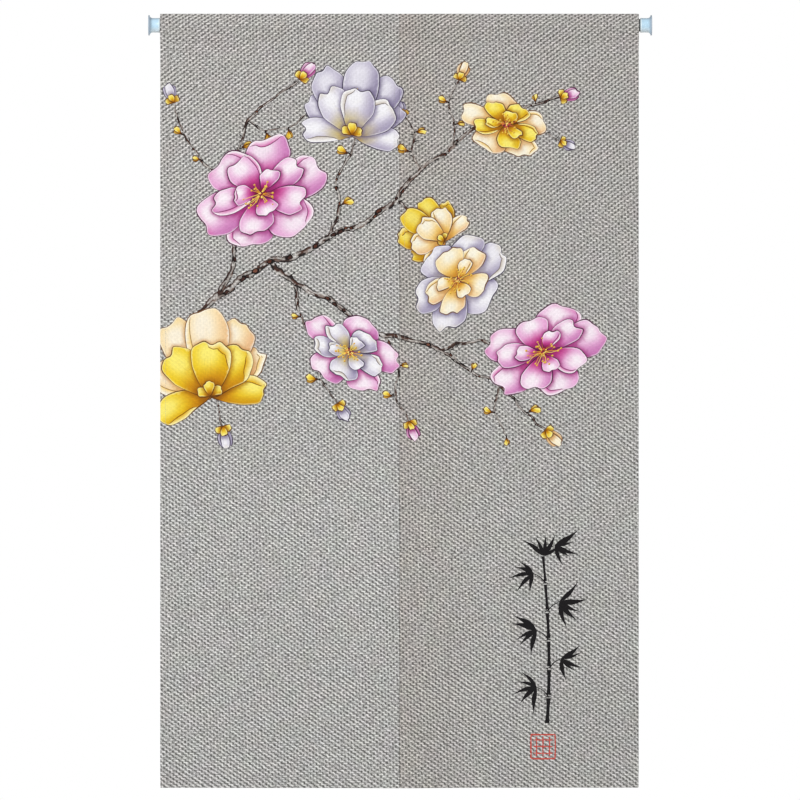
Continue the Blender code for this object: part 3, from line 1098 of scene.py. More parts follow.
# Place, size and heading
BUDS = (
    ((233, 111), 36, 42, PINK),
    ((22, 150), 34, -18, LILAC),
    ((416, 682), 34, 160, PINK),
    ((104, 690), 38, 168, LILAC),
    ((500, 112), 32, 20, CREAM),
    ((296, 652), 34, 148, GREY_LILAC),
    ((668, 141), 34, 74, PINK),
    ((643, 697), 36, 132, CREAM),
    ((668, 214), 28, 112, LILAC),
    ((408, 172), 28, -24, LILAC),
)

# Place and heading
SEED_BUDS = (
    (70, 246, -80), (40, 204, -60), (132, 226, 70), (244, 172, 96), (214, 190, 170), (300, 322, 60),
    (492, 186, 78), (484, 150, -70), (530, 190, -20), (628, 152, -10), (606, 196, 160), (420, 232, -76),
    (398, 590, 80), (392, 640, -84), (58, 580, -70), (92, 640, -100), (262, 560, 76), (268, 612, -90),
    (578, 706, 170), (560, 668, -80), (612, 668, 66), (520, 600, 20), (176, 196, 160), (318, 236, -70),
    (236, 508, -86), (424, 200, 74), (452, 344, 10), (44, 522, -150),
)

# Place, size, heading, tilt, outer and inner petals. One without a tilt is seen from the side
BLOSSOMS = (
    ((320, 204), 168, 8, None, LILAC, GREY_LILAC),
    ((168, 302), 204, 150, 0.22, PINK, PINK),
    ((578, 186), 140, 200, 0.30, CREAM, GOLD),
    ((476, 380), 112, -58, None, CREAM, GOLD),
    ((498, 446), 166, 130, 0.26, LILAC, CREAM),
    ((84, 640), 196, -6, None, GOLD, CREAM),
    ((316, 566), 160, 210, 0.30, PINK, LILAC),
    ((640, 566), 188, 160, 0.24, PINK, PINK),
)
SPRIG = (0.640, 0.905, 1.190)  # across, top and bottom
MARK = (0.640, 1.226)
MARK_SIZE = 0.040


def spray():
    """Every area of the print, from the lowest to the topmost."""
    patches = []
    for number, (thick, thin, line) in enumerate(reversed(BOUGHS)):
        patches += twig(np.array(line, float) * MM, thick * MM, thin * MM, 100 + number)
    for number, (across, down, heading) in enumerate(SEED_BUDS):
        at = np.array((across, down), float) * MM
        patches += seed_bud(at, (13 + 3 * (number % 3)) * MM, heading, number)
    for number, (at, size, heading, colours) in enumerate(BUDS):
        patches += bud(np.array(at, float) * MM, size * MM, heading, colours, 40 + number)
    for number, (at, size, heading, tilt, outer, inner) in enumerate(BLOSSOMS):
        at, size, seed = np.array(at, float) * MM, size * MM, 60 + number
        if tilt is None:
            patches += cup_blossom(at, size, heading, outer, inner, seed)
        else:
            patches += open_blossom(at, size, heading, tilt, outer, inner, seed)
    patches += ink_sprig(*SPRIG)
    patches += lattice_mark(MARK, MARK_SIZE)
    return drop_hidden(patches)


def drop_hidden(patches):
    """Marks what higher areas cover, so that only the lines and dots that show are triangulated."""
    lows = np.array([patch.outline.min(axis=0) for patch in patches])
    highs = np.array([patch.outline.max(axis=0) for patch in patches])
    for number, patch in enumerate(patches):
        above = np.all((lows[number + 1:] < highs[number]) & (highs[number + 1:] > lows[number]), axis=1)
        shows = np.ones(len(patch.outline), bool)
        for other in np.flatnonzero(above) + number + 1:
            shows &= ~within(patch.outline, patches[other].outline)
            patch.dots = patch.dots[~within(patch.dots, patches[other].outline)]
            if patch.under is not None and patches[other].casts:
                patch.over.append(patches[other].outline)
        patch.drawn = shows | np.roll(shows, -1)
    return [patch for patch in patches if patch.drawn.any()]


# The flat cut of a panel, and its print

SHOW_THROUGH = 0.16  # how much of the print's colour reaches the back


def cut_outline(first):
    """Corners of the flat cut. The side hems' cloth stops short of the band and of the bottom hem."""
    last = first + PANEL_WIDTH
    return np.array([
        (first, TOP_DOWN), (last, TOP_DOWN), (last, HEM_STARTS), (last + SIDE_OUT, HEM_STARTS),
        (last + SIDE_OUT, HEM_ENDS), (last, HEM_ENDS), (last, END_DOWN), (first, END_DOWN),
        (first, HEM_ENDS), (first - SIDE_OUT, HEM_ENDS), (first - SIDE_OUT, HEM_STARTS), (first, HEM_STARTS),
    ])


def grid_columns():
    """Distances from a panel's left edge, close together at the turns of the side hems."""
    arc_length = math.pi * PITCH
    straight = SIDE_HEM - PITCH
    turn = [arc_length * step / TURN_STEPS for step in range(TURN_STEPS + 1)]
    tuck = [arc_length + straight + arc_length / 2 * step / TUCK_STEPS for step in range(TUCK_STEPS + 1)]
    beyond = [*turn, arc_length + straight / 2, *tuck, SIDE.along[-1] - SIDE_TUCK / 2, SIDE.along[-1]]
    left = [PITCH - past for past in reversed(beyond)]
    inside = np.linspace(PITCH, PANEL_WIDTH - PITCH, round(PANEL_WIDTH / COLUMN) + 1)[1:-1]
    right = [PANEL_WIDTH - at for at in reversed(left)]
    return np.array([*left, *inside, *right])


def grid_rows():
    """Distances down, close together over the rod, at the seam and in the bottom hem."""
    tuck = TOP_DOWN + (TOP_TUCK + TUCK_EASE - PITCH / 2)
    top = [TOP_DOWN, (TOP_DOWN + tuck) / 2, *(tuck + np.linspace(0, math.pi * PITCH / 2, TUCK_STEPS + 1))]
    over = np.linspace(top[-1], HEM_STARTS, round((HEM_STARTS - top[-1]) / ROD_ROW) + 1)[1:]
    bottom_turn = FALL - PITCH
    fall = np.linspace(HEM_STARTS, bottom_turn, round((bottom_turn - HEM_STARTS) / ROW) + 1)[1:-1]
    turn = np.linspace(bottom_turn, bottom_turn + math.pi * PITCH, TURN_STEPS + 1)
    tucked = turn[-1] + BOTTOM_HEM - PITCH
    end = np.linspace(tucked, tucked + math.pi * PITCH / 2, TUCK_STEPS + 1)
    hem = [*turn, (turn[-1] + tucked) / 2, *end, (end[-1] + END_DOWN) / 2, END_DOWN]
    return np.array([*top, *over, *fall, *hem])


class Drawing:
    """Places and the edges between them, gathered for one triangulation."""

    def __init__(self):
        self.places, self.edges, self.count = [], [], 0

    def add(self, points, drawn=()):
        """Adds places, and an edge from each one that is drawn to the next, round to the first."""
        points = np.asarray(points, float).reshape(-1, 2)
        start, size = self.count, len(points)
        self.places.append(points)
        self.count += size
        self.edges += [(start + at, start + (at + 1) % size) for at in np.flatnonzero(drawn)]

    def add_line(self, points):
        self.add(points, [True] * (len(points) - 1) + [False])

    def triangulated(self):
        """Places and triangles."""
        verts = [Vector(place) for place in np.concatenate(self.places).tolist()]
        verts, _, faces, *_ = delaunay_2d_cdt(verts, self.edges, [], 0, SNAP, False)
        return np.array([tuple(vert) for vert in verts]), np.array(faces, int)


def draw_cloth(drawing, first, cut):
    """The cut's outline and its grid, with a line along each column in the side hems."""
    columns, rows = first + grid_columns(), grid_rows()
    for start, end in zip(cut, np.roll(cut, -1, axis=0)):
        axis = 1 if start[0] == end[0] else 0
        grid = (columns, rows)[axis]
        low, high = sorted((start[axis], end[axis]))
        between = grid[(grid > low + NEAR) & (grid < high - NEAR)]
        line = np.repeat([start], len(between) + 2, axis=0)
        line[1:-1, axis] = between if end[axis] > start[axis] else between[::-1]
        line[-1] = end
        drawing.add_line(line)
    mesh = np.stack(np.meshgrid(columns, rows), axis=-1).reshape(-1, 2)
    mesh = mesh[within(mesh, cut)]
    drawing.add(mesh[distance_to(mesh, cut) > NEAR])
    hem_rows = [HEM_STARTS, *rows[(rows > HEM_STARTS) & (rows < HEM_ENDS)], HEM_ENDS]
    to_edge = np.minimum(columns - first, first + PANEL_WIDTH - columns)
    for across in columns[(to_edge < PITCH + NEAR) & (to_edge > NEAR - SIDE_OUT)]:
        drawing.add_line([(across, down) for down in hem_rows])


def flat_sheet(first, patches):
    """The cut and its print as one triangulated sheet: places, triangles and each one's patch."""
    cut = cut_outline(first)
    drawing = Drawing()
    draw_cloth(drawing, first, cut)
    shown = []
    for patch in patches:
        low, high = patch.outline[:, 0].min(), patch.outline[:, 0].max()
        if high > first - SIDE_OUT and low < first + PANEL_WIDTH + SIDE_OUT:
            shown.append(patch)
            needed = patch.drawn | np.roll(patch.drawn, 1)
            drawing.add(patch.outline[needed], patch.drawn[needed])
            drawing.add(patch.dots)
    places, faces = drawing.triangulated()
    faces = faces[within(places[faces].mean(axis=1), cut)]
    middles = places[faces].mean(axis=1)
    owner = np.full(len(faces), -1)
    for number, patch in enumerate(shown):
        owner[within(middles, patch.outline)] = number
    own = middles[:, 0] - first
    owner[np.minimum(own, PANEL_WIDTH - own) < PITCH * (1 - math.pi / 2)] = -1
    return places, faces, owner, shown


def painted_shadow(places, patch):
    """How deep each place of an area lies in the painted shadow of the petals above it, 0 to 1."""
    depth = np.zeros(len(places))
    moved = places + LIGHT_FROM * SHADOW_SHIFT
    for outline in patch.over:
        depth = np.maximum(depth, 1 - distance_to(moved, outline) / SHADOW_REACH)
        depth[within(moved, outline)] = 1
    return np.clip(depth, 0, 1)


def corner_colours(places, faces, owner, shown):
    """Ink of every face corner, with its cover as alpha, and the run of the fine streaks."""
    ink = np.zeros((len(faces), 3, 4))
    grain = np.zeros((len(faces), 3, 2))
    for number, patch in enumerate(shown):
        own = np.flatnonzero(owner == number)
        if not len(own):
            continue
        used, back = np.unique(faces[own], return_inverse=True)
        back = back.reshape(len(own), 3)
        cover = patch.cover(places[used]) if callable(patch.cover) else np.full(len(used), patch.cover)
        colour = patch.paint(places[used])
        if patch.over:
            colour = blend(colour, patch.under, SHADOW_STRENGTH * painted_shadow(places[used], patch))
        ink[own, :, :3] = linear(colour)[back]
        ink[own, :, 3] = cover[back]
        if patch.grain is not None:
            grain[own] = patch.grain(places[used])[back]
    return ink, grain


def open_edges(faces):
    """Edges that belong to one triangle only, in its direction."""
    pairs = np.concatenate([faces[:, [0, 1]], faces[:, [1, 2]], faces[:, [2, 0]]])
    _, seen, times = np.unique(np.sort(pairs, axis=1), axis=0, return_index=True, return_counts=True)
    return pairs[seen[times == 1]]


def all_corners(face, back, edge):
    """Values of every corner: of the printed face, whose triangles are turned over, the back and the edge."""
    return np.concatenate([values.reshape(-1, face.shape[-1]) for values in (face[:, ::-1], back, edge)])


def build_panel(name, side, patches):
    """One panel as a closed sheet with a printed face, a plain back and a cut edge."""
    places, faces, owner, shown = flat_sheet(left_edge(side), patches)
    used, back = np.unique(faces, return_inverse=True)
    places, faces = places[used], back.reshape(faces.shape)
    ink, grain = corner_colours(places, faces, owner, shown)
    across, down = places.T
    front = hang(side, across, down, -CANVAS / 2)
    behind = hang(side, across, down, CANVAS / 2)
    a, b = open_edges(faces).T
    count = len(places)
    rim = np.stack([a, b, b + count, a + count], axis=1)
    face_list = faces[:, ::-1].tolist() + (faces + count).tolist() + rim.tolist()
    mesh = bpy.data.meshes.new(name)
    mesh.from_pydata(np.concatenate([front, behind]).tolist(), [], face_list)
    mesh.polygons.foreach_set("use_smooth", np.ones(len(face_list), bool))

    out = np.cross(front[b] - front[a], behind[a] - front[a])
    out /= np.maximum(np.linalg.norm(out, axis=1), 1e-12)[:, None]
    normals = all_corners(
        facing(side, across, down, -CANVAS / 2)[faces],
        -facing(side, across, down, CANVAS / 2)[faces],
        np.repeat(out, 4, axis=0),
    )
    flat = all_corners(places[faces], places[faces], places[np.stack([a, b, b, a], axis=1)])
    colours = all_corners(ink, ink * (1, 1, 1, SHOW_THROUGH), np.zeros((len(rim), 4, 4)))
    streaks = all_corners(grain, grain, np.zeros((len(rim), 4, 2)))
    mesh.uv_layers.new(name="weave").data.foreach_set("uv", flat.ravel())
    mesh.uv_layers.new(name="streaks").data.foreach_set("uv", streaks.ravel())
    layer = mesh.color_attributes.new("ink", "FLOAT_COLOR", "CORNER")
    layer.data.foreach_set("color", colours.ravel())
    mesh.normals_split_custom_set(normals.tolist())
    return placed(name, mesh)


# Sewing

THREAD = 0.00030  # radius of a stitch
RAISED = THREAD * 0.15  # how far a stitch's middle stands off the cloth
STITCH = 0.0026
STITCH_PITCH = 0.0036
FROM_SEAM = 0.0015  # from the upper edge of the band down to its stitches
FROM_FOLD = 0.0015  # from a side hem's inner fold to its stitches
FROM_BOTTOM_FOLD = 0.002  # from the bottom hem's upper fold
SEAM_ENDS = 0.003  # a row stops this far from the edge
HEM_ROW_ENDS = 0.002
HEM_BACK = 2 * PITCH + CANVAS / 2  # depth of a hem's outer face behind
OFF_LINE = (0.0, 0.3, 1.0)  # a direction in which no stitch lies
JOIN_STARTS = 0.006  # from the side hems' start down to the joining stitches
JOIN_PITCH = 0.0032
JOIN_REACH = 0.0012
BAR_TACK = 0.007  # height of the dense stitches at the top of the slit
BAR_STITCHES = 12


def stitched_row(side, start, end, depth):
    """Where each stitch of a row starts and ends, between two flat places of a panel."""
    start, end = np.array(start), np.array(end)
    reach = math.hypot(*(end - start))
    count = int(reach / STITCH_PITCH)
    share = (np.arange(count) + 0.5) / count
    half = STITCH / 2 / reach
    rows = []
    for shift in (-half, half):
        across, down = start[:, None] + (end - start)[:, None] * (share + shift)
        rows.append(hang(side, across, down, np.full(count, depth)))
    return list(zip(*rows))


def sewn(name, stitches):
    """Grains of thread, each lying between two places, as one piece."""
    work = bmesh.new()
    bmesh.ops.create_uvsphere(work, u_segments=5, v_segments=4, radius=1.0)
    order_faces(work)
    shape = np.array([vert.co for vert in work.verts])
    corners = [[vert.index for vert in face.verts] for face in work.faces]
    work.free()
    ends = np.array(stitches)
    run = (ends[:, 1] - ends[:, 0]) / 2
    over = np.cross(run, OFF_LINE)
    over *= THREAD / np.linalg.norm(over, axis=1)[:, None]
    up = np.cross(over, run)
    up *= THREAD / np.linalg.norm(up, axis=1)[:, None]
    places = ends.mean(axis=1)[:, None] + shape @ np.stack([over, up, run], axis=1)
    faces = []
    for sides in (4, 3):
        same = np.array([face for face in corners if len(face) == sides])
        faces += (same + np.arange(len(ends))[:, None, None] * len(shape)).reshape(-1, sides).tolist()
    mesh = bpy.data.meshes.new(name)
    mesh.from_pydata(places.reshape(-1, 3).tolist(), [], faces)
    mesh.shade_smooth()
    return placed(name, mesh)


def sew_panel(name, side):
    """The stitches of one panel, on its face and behind: pocket seam, side hems and bottom hem."""
    first = left_edge(side)
    last = first + PANEL_WIDTH
    face = RAISED - CANVAS / 2
    seam = CLOTH_TOP - SEAM_Z + FROM_SEAM
    back_seam = TOP_DOWN + TOP_TUCK + math.pi * PITCH / 2 + SEAM_BAND - PITCH - FROM_SEAM
    hem = FALL - BOTTOM_HEM + FROM_BOTTOM_FOLD
    from_edge = SIDE_HEM - FROM_FOLD
    top, low = HEM_STARTS + HEM_ROW_ENDS, HEM_ENDS - HEM_ROW_ENDS
    stitches = []
    for down in (seam, back_seam):
        stitches += stitched_row(side, (first + SEAM_ENDS, down), (last - SEAM_ENDS, down), face)
    for depth in (face, HEM_BACK + RAISED):
        stitches += stitched_row(side, (first + HEM_ROW_ENDS, hem), (last - HEM_ROW_ENDS, hem), depth)
        for across in (first + from_edge, last - from_edge):
            stitches += stitched_row(side, (across, top), (across, low), depth)
    if side < 0:
        stitches += joining_row()
    return sewn(name, stitches)


def joining_row():
    """Slanted stitches behind the two inner hems, from the pocket to the top of the slit."""
    end = CLOTH_TOP - OPEN_FROM
    spaced = np.arange(HEM_STARTS + JOIN_STARTS, end - BAR_TACK, JOIN_PITCH)
    down = np.append(spaced, np.linspace(end - BAR_TACK, end, BAR_STITCHES))
    depth = np.full(len(down), HEM_BACK + THREAD * 0.5)
    reach = np.full(len(down), PITCH + JOIN_REACH)
    left = hang(-1, PANEL_WIDTH - reach, down, depth)
    right = hang(1, left_edge(1) + reach, down, depth)
    return list(zip(left, right)) + list(zip(right[:-1], left[1:]))


# Feet

FOOT_LENGTH = 0.0194
FOOT_RADIUS = 0.0120
PLATE_RADIUS = 0.0170
PLATE_EDGE = 0.0022
SOCKET_END = 0.0040
DISH_DEPTH = 0.0005  # the pressing face is dished inside its rim
DISH_RADIUS = 0.0118
DISH_SLOPE = 0.0006
SOFT_EDGE = 0.0008
BACK_EDGE = 0.0004
MOUTH_RING = 0.0022  # width of the raised ring round the socket's mouth
RING_RISE = 0.0003
BORE_EDGE = 0.0003
FOOT_STEPS = 96
SHARP_ANGLE = 40


def foot_section():
    """Half of a foot's section as (distance from the pressing face, radius), closed along the axis."""
    flare = PLATE_RADIUS - FOOT_RADIUS
    ring = FOOT_LENGTH - MOUTH_RING
    top = FOOT_RADIUS + RING_RISE
    bore = ROD_RADIUS + GAP
    points = [(DISH_DEPTH, 0.0), (DISH_DEPTH, DISH_RADIUS), (0.0, DISH_RADIUS + DISH_SLOPE)]
    points += arc((SOFT_EDGE, PLATE_RADIUS - SOFT_EDGE), SOFT_EDGE, 180, -90, 5)
    points += arc((PLATE_EDGE - BACK_EDGE, PLATE_RADIUS - BACK_EDGE), BACK_EDGE, 90, -90, 3)
    points += arc((PLATE_EDGE + flare, PLATE_RADIUS), flare, 188, 82, 10)
    points += [(ring - BACK_EDGE, FOOT_RADIUS), (ring, top)]
    points += arc((FOOT_LENGTH - SOFT_EDGE, top - SOFT_EDGE), SOFT_EDGE, 90, -90, 5)
    points += [(FOOT_LENGTH, bore + BORE_EDGE), (FOOT_LENGTH - BORE_EDGE, bore)]
    return points + [(SOCKET_END, bore), (SOCKET_END, 0.0)]


def moulded_foot(name, side):
    """A foot turned from its section, finer than the solid one."""
    work = bmesh.new()
    start = 0.0 if side < 0 else SPAN
    line = [work.verts.new((start - side * x, 0.0, radius)) for x, radius in foot_section()]
    edges = [work.edges.new(pair) for pair in zip(line, line[1:])]
    bmesh.ops.spin(work, geom=[*line, *edges], cent=(0, 0, 0), axis=(1, 0, 0), dvec=(0, 0, 0),
                   angle=math.tau, steps=FOOT_STEPS, use_merge=True)
    bmesh.ops.remove_doubles(work, verts=work.verts, dist=1e-6)
    bmesh.ops.recalc_face_normals(work, faces=work.faces)
    order_faces(work)
    mesh = bpy.data.meshes.new(name)
    work.to_mesh(mesh)
    work.free()
    mesh.shade_smooth()
    mesh.set_sharp_from_angle(angle=math.radians(SHARP_ANGLE))
    return placed(name, mesh)


# Materials

WEAVE_RISE = (90.5, -133.2, 0.0)  # cycles a metre of the weave's two slanted rows of floats
WEAVE_FALL = (96.9, 128.4, 0.0)
CROSSINGS = 0.62  # strength of the places where both rows meet
WANDER = 0.0013  # how far the yarns wander
WANDER_SCALE = 55.0
PATCH_SCALE = 9.0
BOLD_SCALE = 110.0
TINT_SCALE = 26.0
TINT_SHARE = 0.035
WHITE = (1.0, 1.0, 1.0, 1)
# On the right panel "inner" is painted shade, a little warm, beside the slit, and "outer" a slightly cooler
# tone towards its right edge
CANVAS_TONES = {
    "left": {"dark": (0.107, 0.105, 0.101, 1), "light": (0.916, 0.907, 0.883, 1),
             "inner": WHITE, "outer": WHITE},
    "right": {"dark": (0.106, 0.102, 0.096, 1), "light": (0.895, 0.871, 0.834, 1),
              "inner": (0.950, 0.928, 0.914, 1), "outer": (0.978, 0.990, 1.000, 1)},
}
UPPER_CAST = (1.0, 0.975, 0.965, 1)
LOWER_CAST = (1.02, 1.02, 1.02, 1)
TONE_POWER = 1.475  # how quickly the weave's tone falls off from its brightest floats
YARN_TWIST = 18  # slant of the fibres to their yarn, in degrees
SLUBS = (190.0, 450.0)  # cycles a metre along a yarn and across it
FIBRES = (420.0, 2600.0)
FIBRE_RELIEF = 0.30
# How a value turns into a strength: its range, and the strengths at both ends of it
CLOTH_ZONES = {
    "lean": (0.12, 0.75, 0.28, 0.70),
    "low lean": (0.85, 1.20, 0.0, 0.10),
    "patchy lean": (0.3, 0.7, -0.12, 0.12),
    "weft": (-0.25, 0.25, 0.0, 1.0),
    "slubs": (0.3, 0.7, 0.14, 0.86),
    "bold": (0.3, 0.7, 0.255, 0.455),
    "floats": (-0.02, 1.06, 0.0, 1.0),
    "fibres": (0.3, 0.7, 0.70, 1.30),
    "cast": (0.05, 0.80, 0.0, 1.0),
    "sides": (0.40, 0.55, 0.0, 1.0),
    "dim": (0.85, 1.20, 1.0, 0.940),
    "hem dim": (1.268, 1.290, 1.0, 0.965),
    "streaks": (0.3, 0.7, 0.93, 1.04),
    "through": (0.0, 1.0, 0.95, 1.05),
}
# Ranges of the feet's colours: "mouth" is a painted highlight, "edge", "above" and "top" give painted shade,
# and "under" painted light from below
FOOT_ZONES = {
    "mouth": (FOOT_LENGTH - 0.0026, FOOT_LENGTH - 0.0018, 0.0, 0.65),
    "rim": (0.0138, 0.0168, 0.0, 0.30),
    "body": (0.0016, 0.0064, 0.0, 1.0),
    "above": (-0.004, 0.008, 0.12, 1.0),
    "edge": (0.35, 0.95, 0.0, 0.66),
    "top": (0.0078, 0.0112, 0.0, 0.40),
    "under": (-0.0118, -0.0030, 0.75, 0.0),
    "behind plate": (0.003, 0.006, 0.0, 1.0),
    "roughness": (0.002, 0.009, 0.62, 0.40),
    "gloss": (0.004, 0.009, 0.06, 0.5),
}
TUBE_ZONES = {"roughness": (0.3, 0.7, 0.36, 0.5)}


class Nodes:
    """A material's node tree, with short calls to add and join nodes. zones are its ranges by name."""

    def __init__(self, name, zones=None):
        self.look = bpy.data.materials.new(name)
        self.look.use_nodes = True
        self.tree = self.look.node_tree
        self.shader = self.tree.nodes["Principled BSDF"]
        self.zones = zones

    def feed(self, socket, value):
        if isinstance(value, bpy.types.NodeSocket):
            self.tree.links.new(value, socket)
        else:
            socket.default_value = value

    def add(self, kind, *values, settings=None, **named):
        """A new node. Plain values go to its inputs in their order, and named ones to those inputs."""
        node = self.tree.nodes.new("ShaderNode" + kind)
        for key, value in (settings or {}).items():
            setattr(node, key, value)
        for socket, value in zip(node.inputs, values):
            self.feed(socket, value)
        for key, value in named.items():
            self.feed(node.inputs[key], value)
        return node

    def math(self, operation, *values):
        return self.add("Math", *values, settings={"operation": operation}).outputs[0]

    def product(self, first, second):
        return self.math("MULTIPLY", first, second)

    def total(self, first, *others):
        for value in others:
            first = self.math("ADD", first, value)
        return first

    def vector(self, operation, *values, **named):
        return self.add("VectorMath", *values, settings={"operation": operation}, **named).outputs

    def dot(self, vector, direction):
        return self.vector("DOT_PRODUCT", vector, direction)["Value"]

    def noise(self, place, scale, detail=2.0, roughness=0.5, sheet=False):
        settings = {"noise_dimensions": "2D" if sheet else "3D"}
        named = {"Vector": place, "Scale": scale, "Detail": detail, "Roughness": roughness}
        return self.add("TexNoise", settings=settings, **named).outputs

    def mix(self, share, first, second, blend_type="MIX"):
        node = self.add("Mix", settings={"data_type": "RGBA", "blend_type": blend_type})
        for number, value in ((0, share), (6, first), (7, second)):
            self.feed(node.inputs[number], value)
        return node.outputs[2]

    def times(self, first, second):
        """One colour multiplied by another."""
        return self.mix(1.0, first, second, "MULTIPLY")

    def grey(self, value):
        return self.add("CombineColor", value, value, value).outputs[0]

    def zone(self, name, value):
        """The strength that a value has in one of the zones, held beyond both ends of its range."""
        return self.add("MapRange", value, *self.zones[name]).outputs[0]

    def object_place(self):
        return self.add("TexCoord").outputs["Object"]

    def finish(self, colour, roughness, height=None, strength=0.0, rise=0.0, **named):
        """Feeds the shader, with a bump where a height is given."""
        for key, value in {"Base Color": colour, "Roughness": roughness, **named}.items():
            self.feed(self.shader.inputs[key], value)
        if height is not None:
            bump = self.add("Bump", Strength=strength, Distance=rise, Height=height)
            self.feed(self.shader.inputs["Normal"], bump.outputs[0])
        return self.look


def along_yarns(made, flat, weft_over, cycles, roughness):
    """Streaks that run along the upper yarn of each crossing, with the slant of its twist."""
    runs = []
    for angle in (YARN_TWIST, 90 - YARN_TWIST):
        turn = math.radians(angle)
        along = made.dot(flat, (math.cos(turn) * cycles[0], math.sin(turn) * cycles[0], 0.0))
        aside = made.dot(flat, (-math.sin(turn) * cycles[1], math.cos(turn) * cycles[1], 0.0))
        place = made.add("CombineXYZ", along, aside).outputs[0]
        runs.append(made.noise(place, 1.0, 2.0, roughness, sheet=True)[0])
    weft, warp = runs
    return made.total(warp, made.product(made.math("SUBTRACT", weft, warp), weft_over))


def woven(made, flat, down):
    """Height of the weave's floats, their tone, and the fine fibres along them."""
    soft = made.noise(flat, WANDER_SCALE, sheet=True)["Color"]
    shift = made.vector("SCALE", made.vector("SUBTRACT", soft, (0.5, 0.5, 0.5))[0], Scale=WANDER)[0]
    bent = made.vector("ADD", flat, shift)[0]
    rising = made.product(made.dot(bent, WEAVE_RISE), math.tau)
    falling = made.product(made.dot(bent, WEAVE_FALL), math.tau)
    rise, fall = made.math("COSINE", rising), made.math("COSINE", falling)
    crossings = made.product(made.math("SINE", rising), made.math("SINE", falling))
    # Which of the two slanted rows is the stronger one changes down the cloth and from place to place
    patchy = made.noise(flat, PATCH_SCALE, 1.0, sheet=True)[0]
    lean = made.total(made.zone("lean", down), made.zone("low lean", down), made.zone("patchy lean", patchy))
    rise, fall = made.product(rise, lean), made.product(fall, made.math("SUBTRACT", 1.0, lean))
    slanted = made.total(rise, fall, made.product(crossings, CROSSINGS))
    weft_over = made.zone("weft", slanted)
    uneven = made.zone("slubs", along_yarns(made, bent, weft_over, SLUBS, 0.7))
    bold = made.noise(flat, BOLD_SCALE, 1.0, sheet=True)[0]
    slanted = made.product(slanted, made.zone("bold", bold))
    floats = made.total(slanted, uneven)
    fibres = along_yarns(made, bent, weft_over, FIBRES, 0.5)
    # The tone follows the floats' height: partly the yarns' own tone, partly painted light on the floats and
    # painted shade in the hollows between them
    tone = made.math("POWER", made.zone("floats", floats), TONE_POWER)
    tone = made.product(tone, made.zone("fibres", fibres))
    return floats, tone, fibres


def canvas_look(name, tones):
    """Coarse plain weave in uneven yarn, with the print's ink on it."""
    made = Nodes(name, CLOTH_ZONES)
    flat = made.add("UVMap", settings={"uv_map": "weave"}).outputs[0]
    over, down, _ = made.add("SeparateXYZ", flat).outputs
    floats, tone, fibres = woven(made, flat, down)
    cloth = made.mix(tone, tones["dark"], tones["light"])
    specks = made.noise(flat, TINT_SCALE, 3.0, sheet=True)["Color"]
    tint = made.mix(TINT_SHARE, (0.5, 0.5, 0.5, 1), specks)
    cloth = made.times(cloth, made.times(tint, (2.0, 2.0, 2.0, 1)))
    cloth = made.times(cloth, made.mix(made.zone("cast", down), UPPER_CAST, LOWER_CAST))
    # Painted shade beside the slit on the right panel, fading out towards its right edge
    cloth = made.times(cloth, made.mix(made.zone("sides", over), tones["inner"], tones["outer"]))
    dim = made.product(made.zone("dim", down), made.zone("hem dim", down))
    cloth = made.times(cloth, made.grey(dim))

    ink = made.add("Attribute", settings={"attribute_name": "ink", "attribute_type": "GEOMETRY"}).outputs
    run = made.add("UVMap", settings={"uv_map": "streaks"}).outputs[0]
    shade = made.zone("streaks", made.noise(run, 1.0, sheet=True)[0])
    shade = made.product(shade, made.zone("through", tone))
    colour = made.mix(ink["Alpha"], cloth, made.times(ink["Color"], made.grey(shade)))
    relief = made.total(floats, made.product(fibres, FIBRE_RELIEF))
    return made.finish(colour, 0.9, relief, 0.6, 0.0004, **{"Specular IOR Level": 0.25})


def thread_look():
    made = Nodes("sewing_thread")
    fine = made.noise(made.object_place(), 900.0)[0]
    return made.finish(made.mix(fine, (0.38, 0.37, 0.35, 1), (0.56, 0.55, 0.525, 1)), 0.8)


def plastic_look(name, face):
    """Pale blue gloss plastic, darker in the plate, with painted shade towards its edges and along its top, a
    painted highlight at the socket's mouth and painted light underneath. face is the plate's x.
    """
    made = Nodes(name, FOOT_ZONES)
    place = made.object_place()
    cloudy = made.noise(place, 120.0, 3.0)[0]
    x, y, z = made.add("SeparateXYZ", place).outputs
    inward = made.math("ABSOLUTE", made.math("SUBTRACT", x, face))
    radius = made.math("SQRT", made.total(made.product(y, y), made.product(z, z)))
    body = made.mix(cloudy, (0.52, 0.75, 0.92, 1), (0.59, 0.81, 0.96, 1))
    # A painted highlight round the socket's mouth
    body = made.mix(made.zone("mouth", inward), body, (0.86, 0.97, 1.0, 1))
    plate = made.mix(cloudy, (0.33, 0.41, 0.50, 1), (0.39, 0.47, 0.57, 1))
    plate = made.mix(made.zone("rim", radius), plate, (0.66, 0.74, 0.82, 1))
    colour = made.mix(made.zone("body", inward), plate, body)
    # Painted shade at the outline, strongest along the top, and painted light on the underside away from the
    # plate
    edge = made.add("LayerWeight", Blend=0.35).outputs["Facing"]
    shaded = made.product(made.zone("edge", edge), made.zone("above", z))
    colour = made.mix(shaded, colour, (0.24, 0.29, 0.34, 1))
    colour = made.mix(made.zone("top", z), colour, (0.26, 0.33, 0.39, 1))
    painted_underlight = made.product(made.zone("under", z), made.zone("behind plate", inward))
    colour = made.mix(painted_underlight, colour, (0.93, 0.99, 1.0, 1))
    gloss = made.zone("gloss", inward)
    roughness = made.zone("roughness", inward)
    return made.finish(colour, roughness, cloudy, 0.15, 0.0002, **{"Specular IOR Level": gloss})


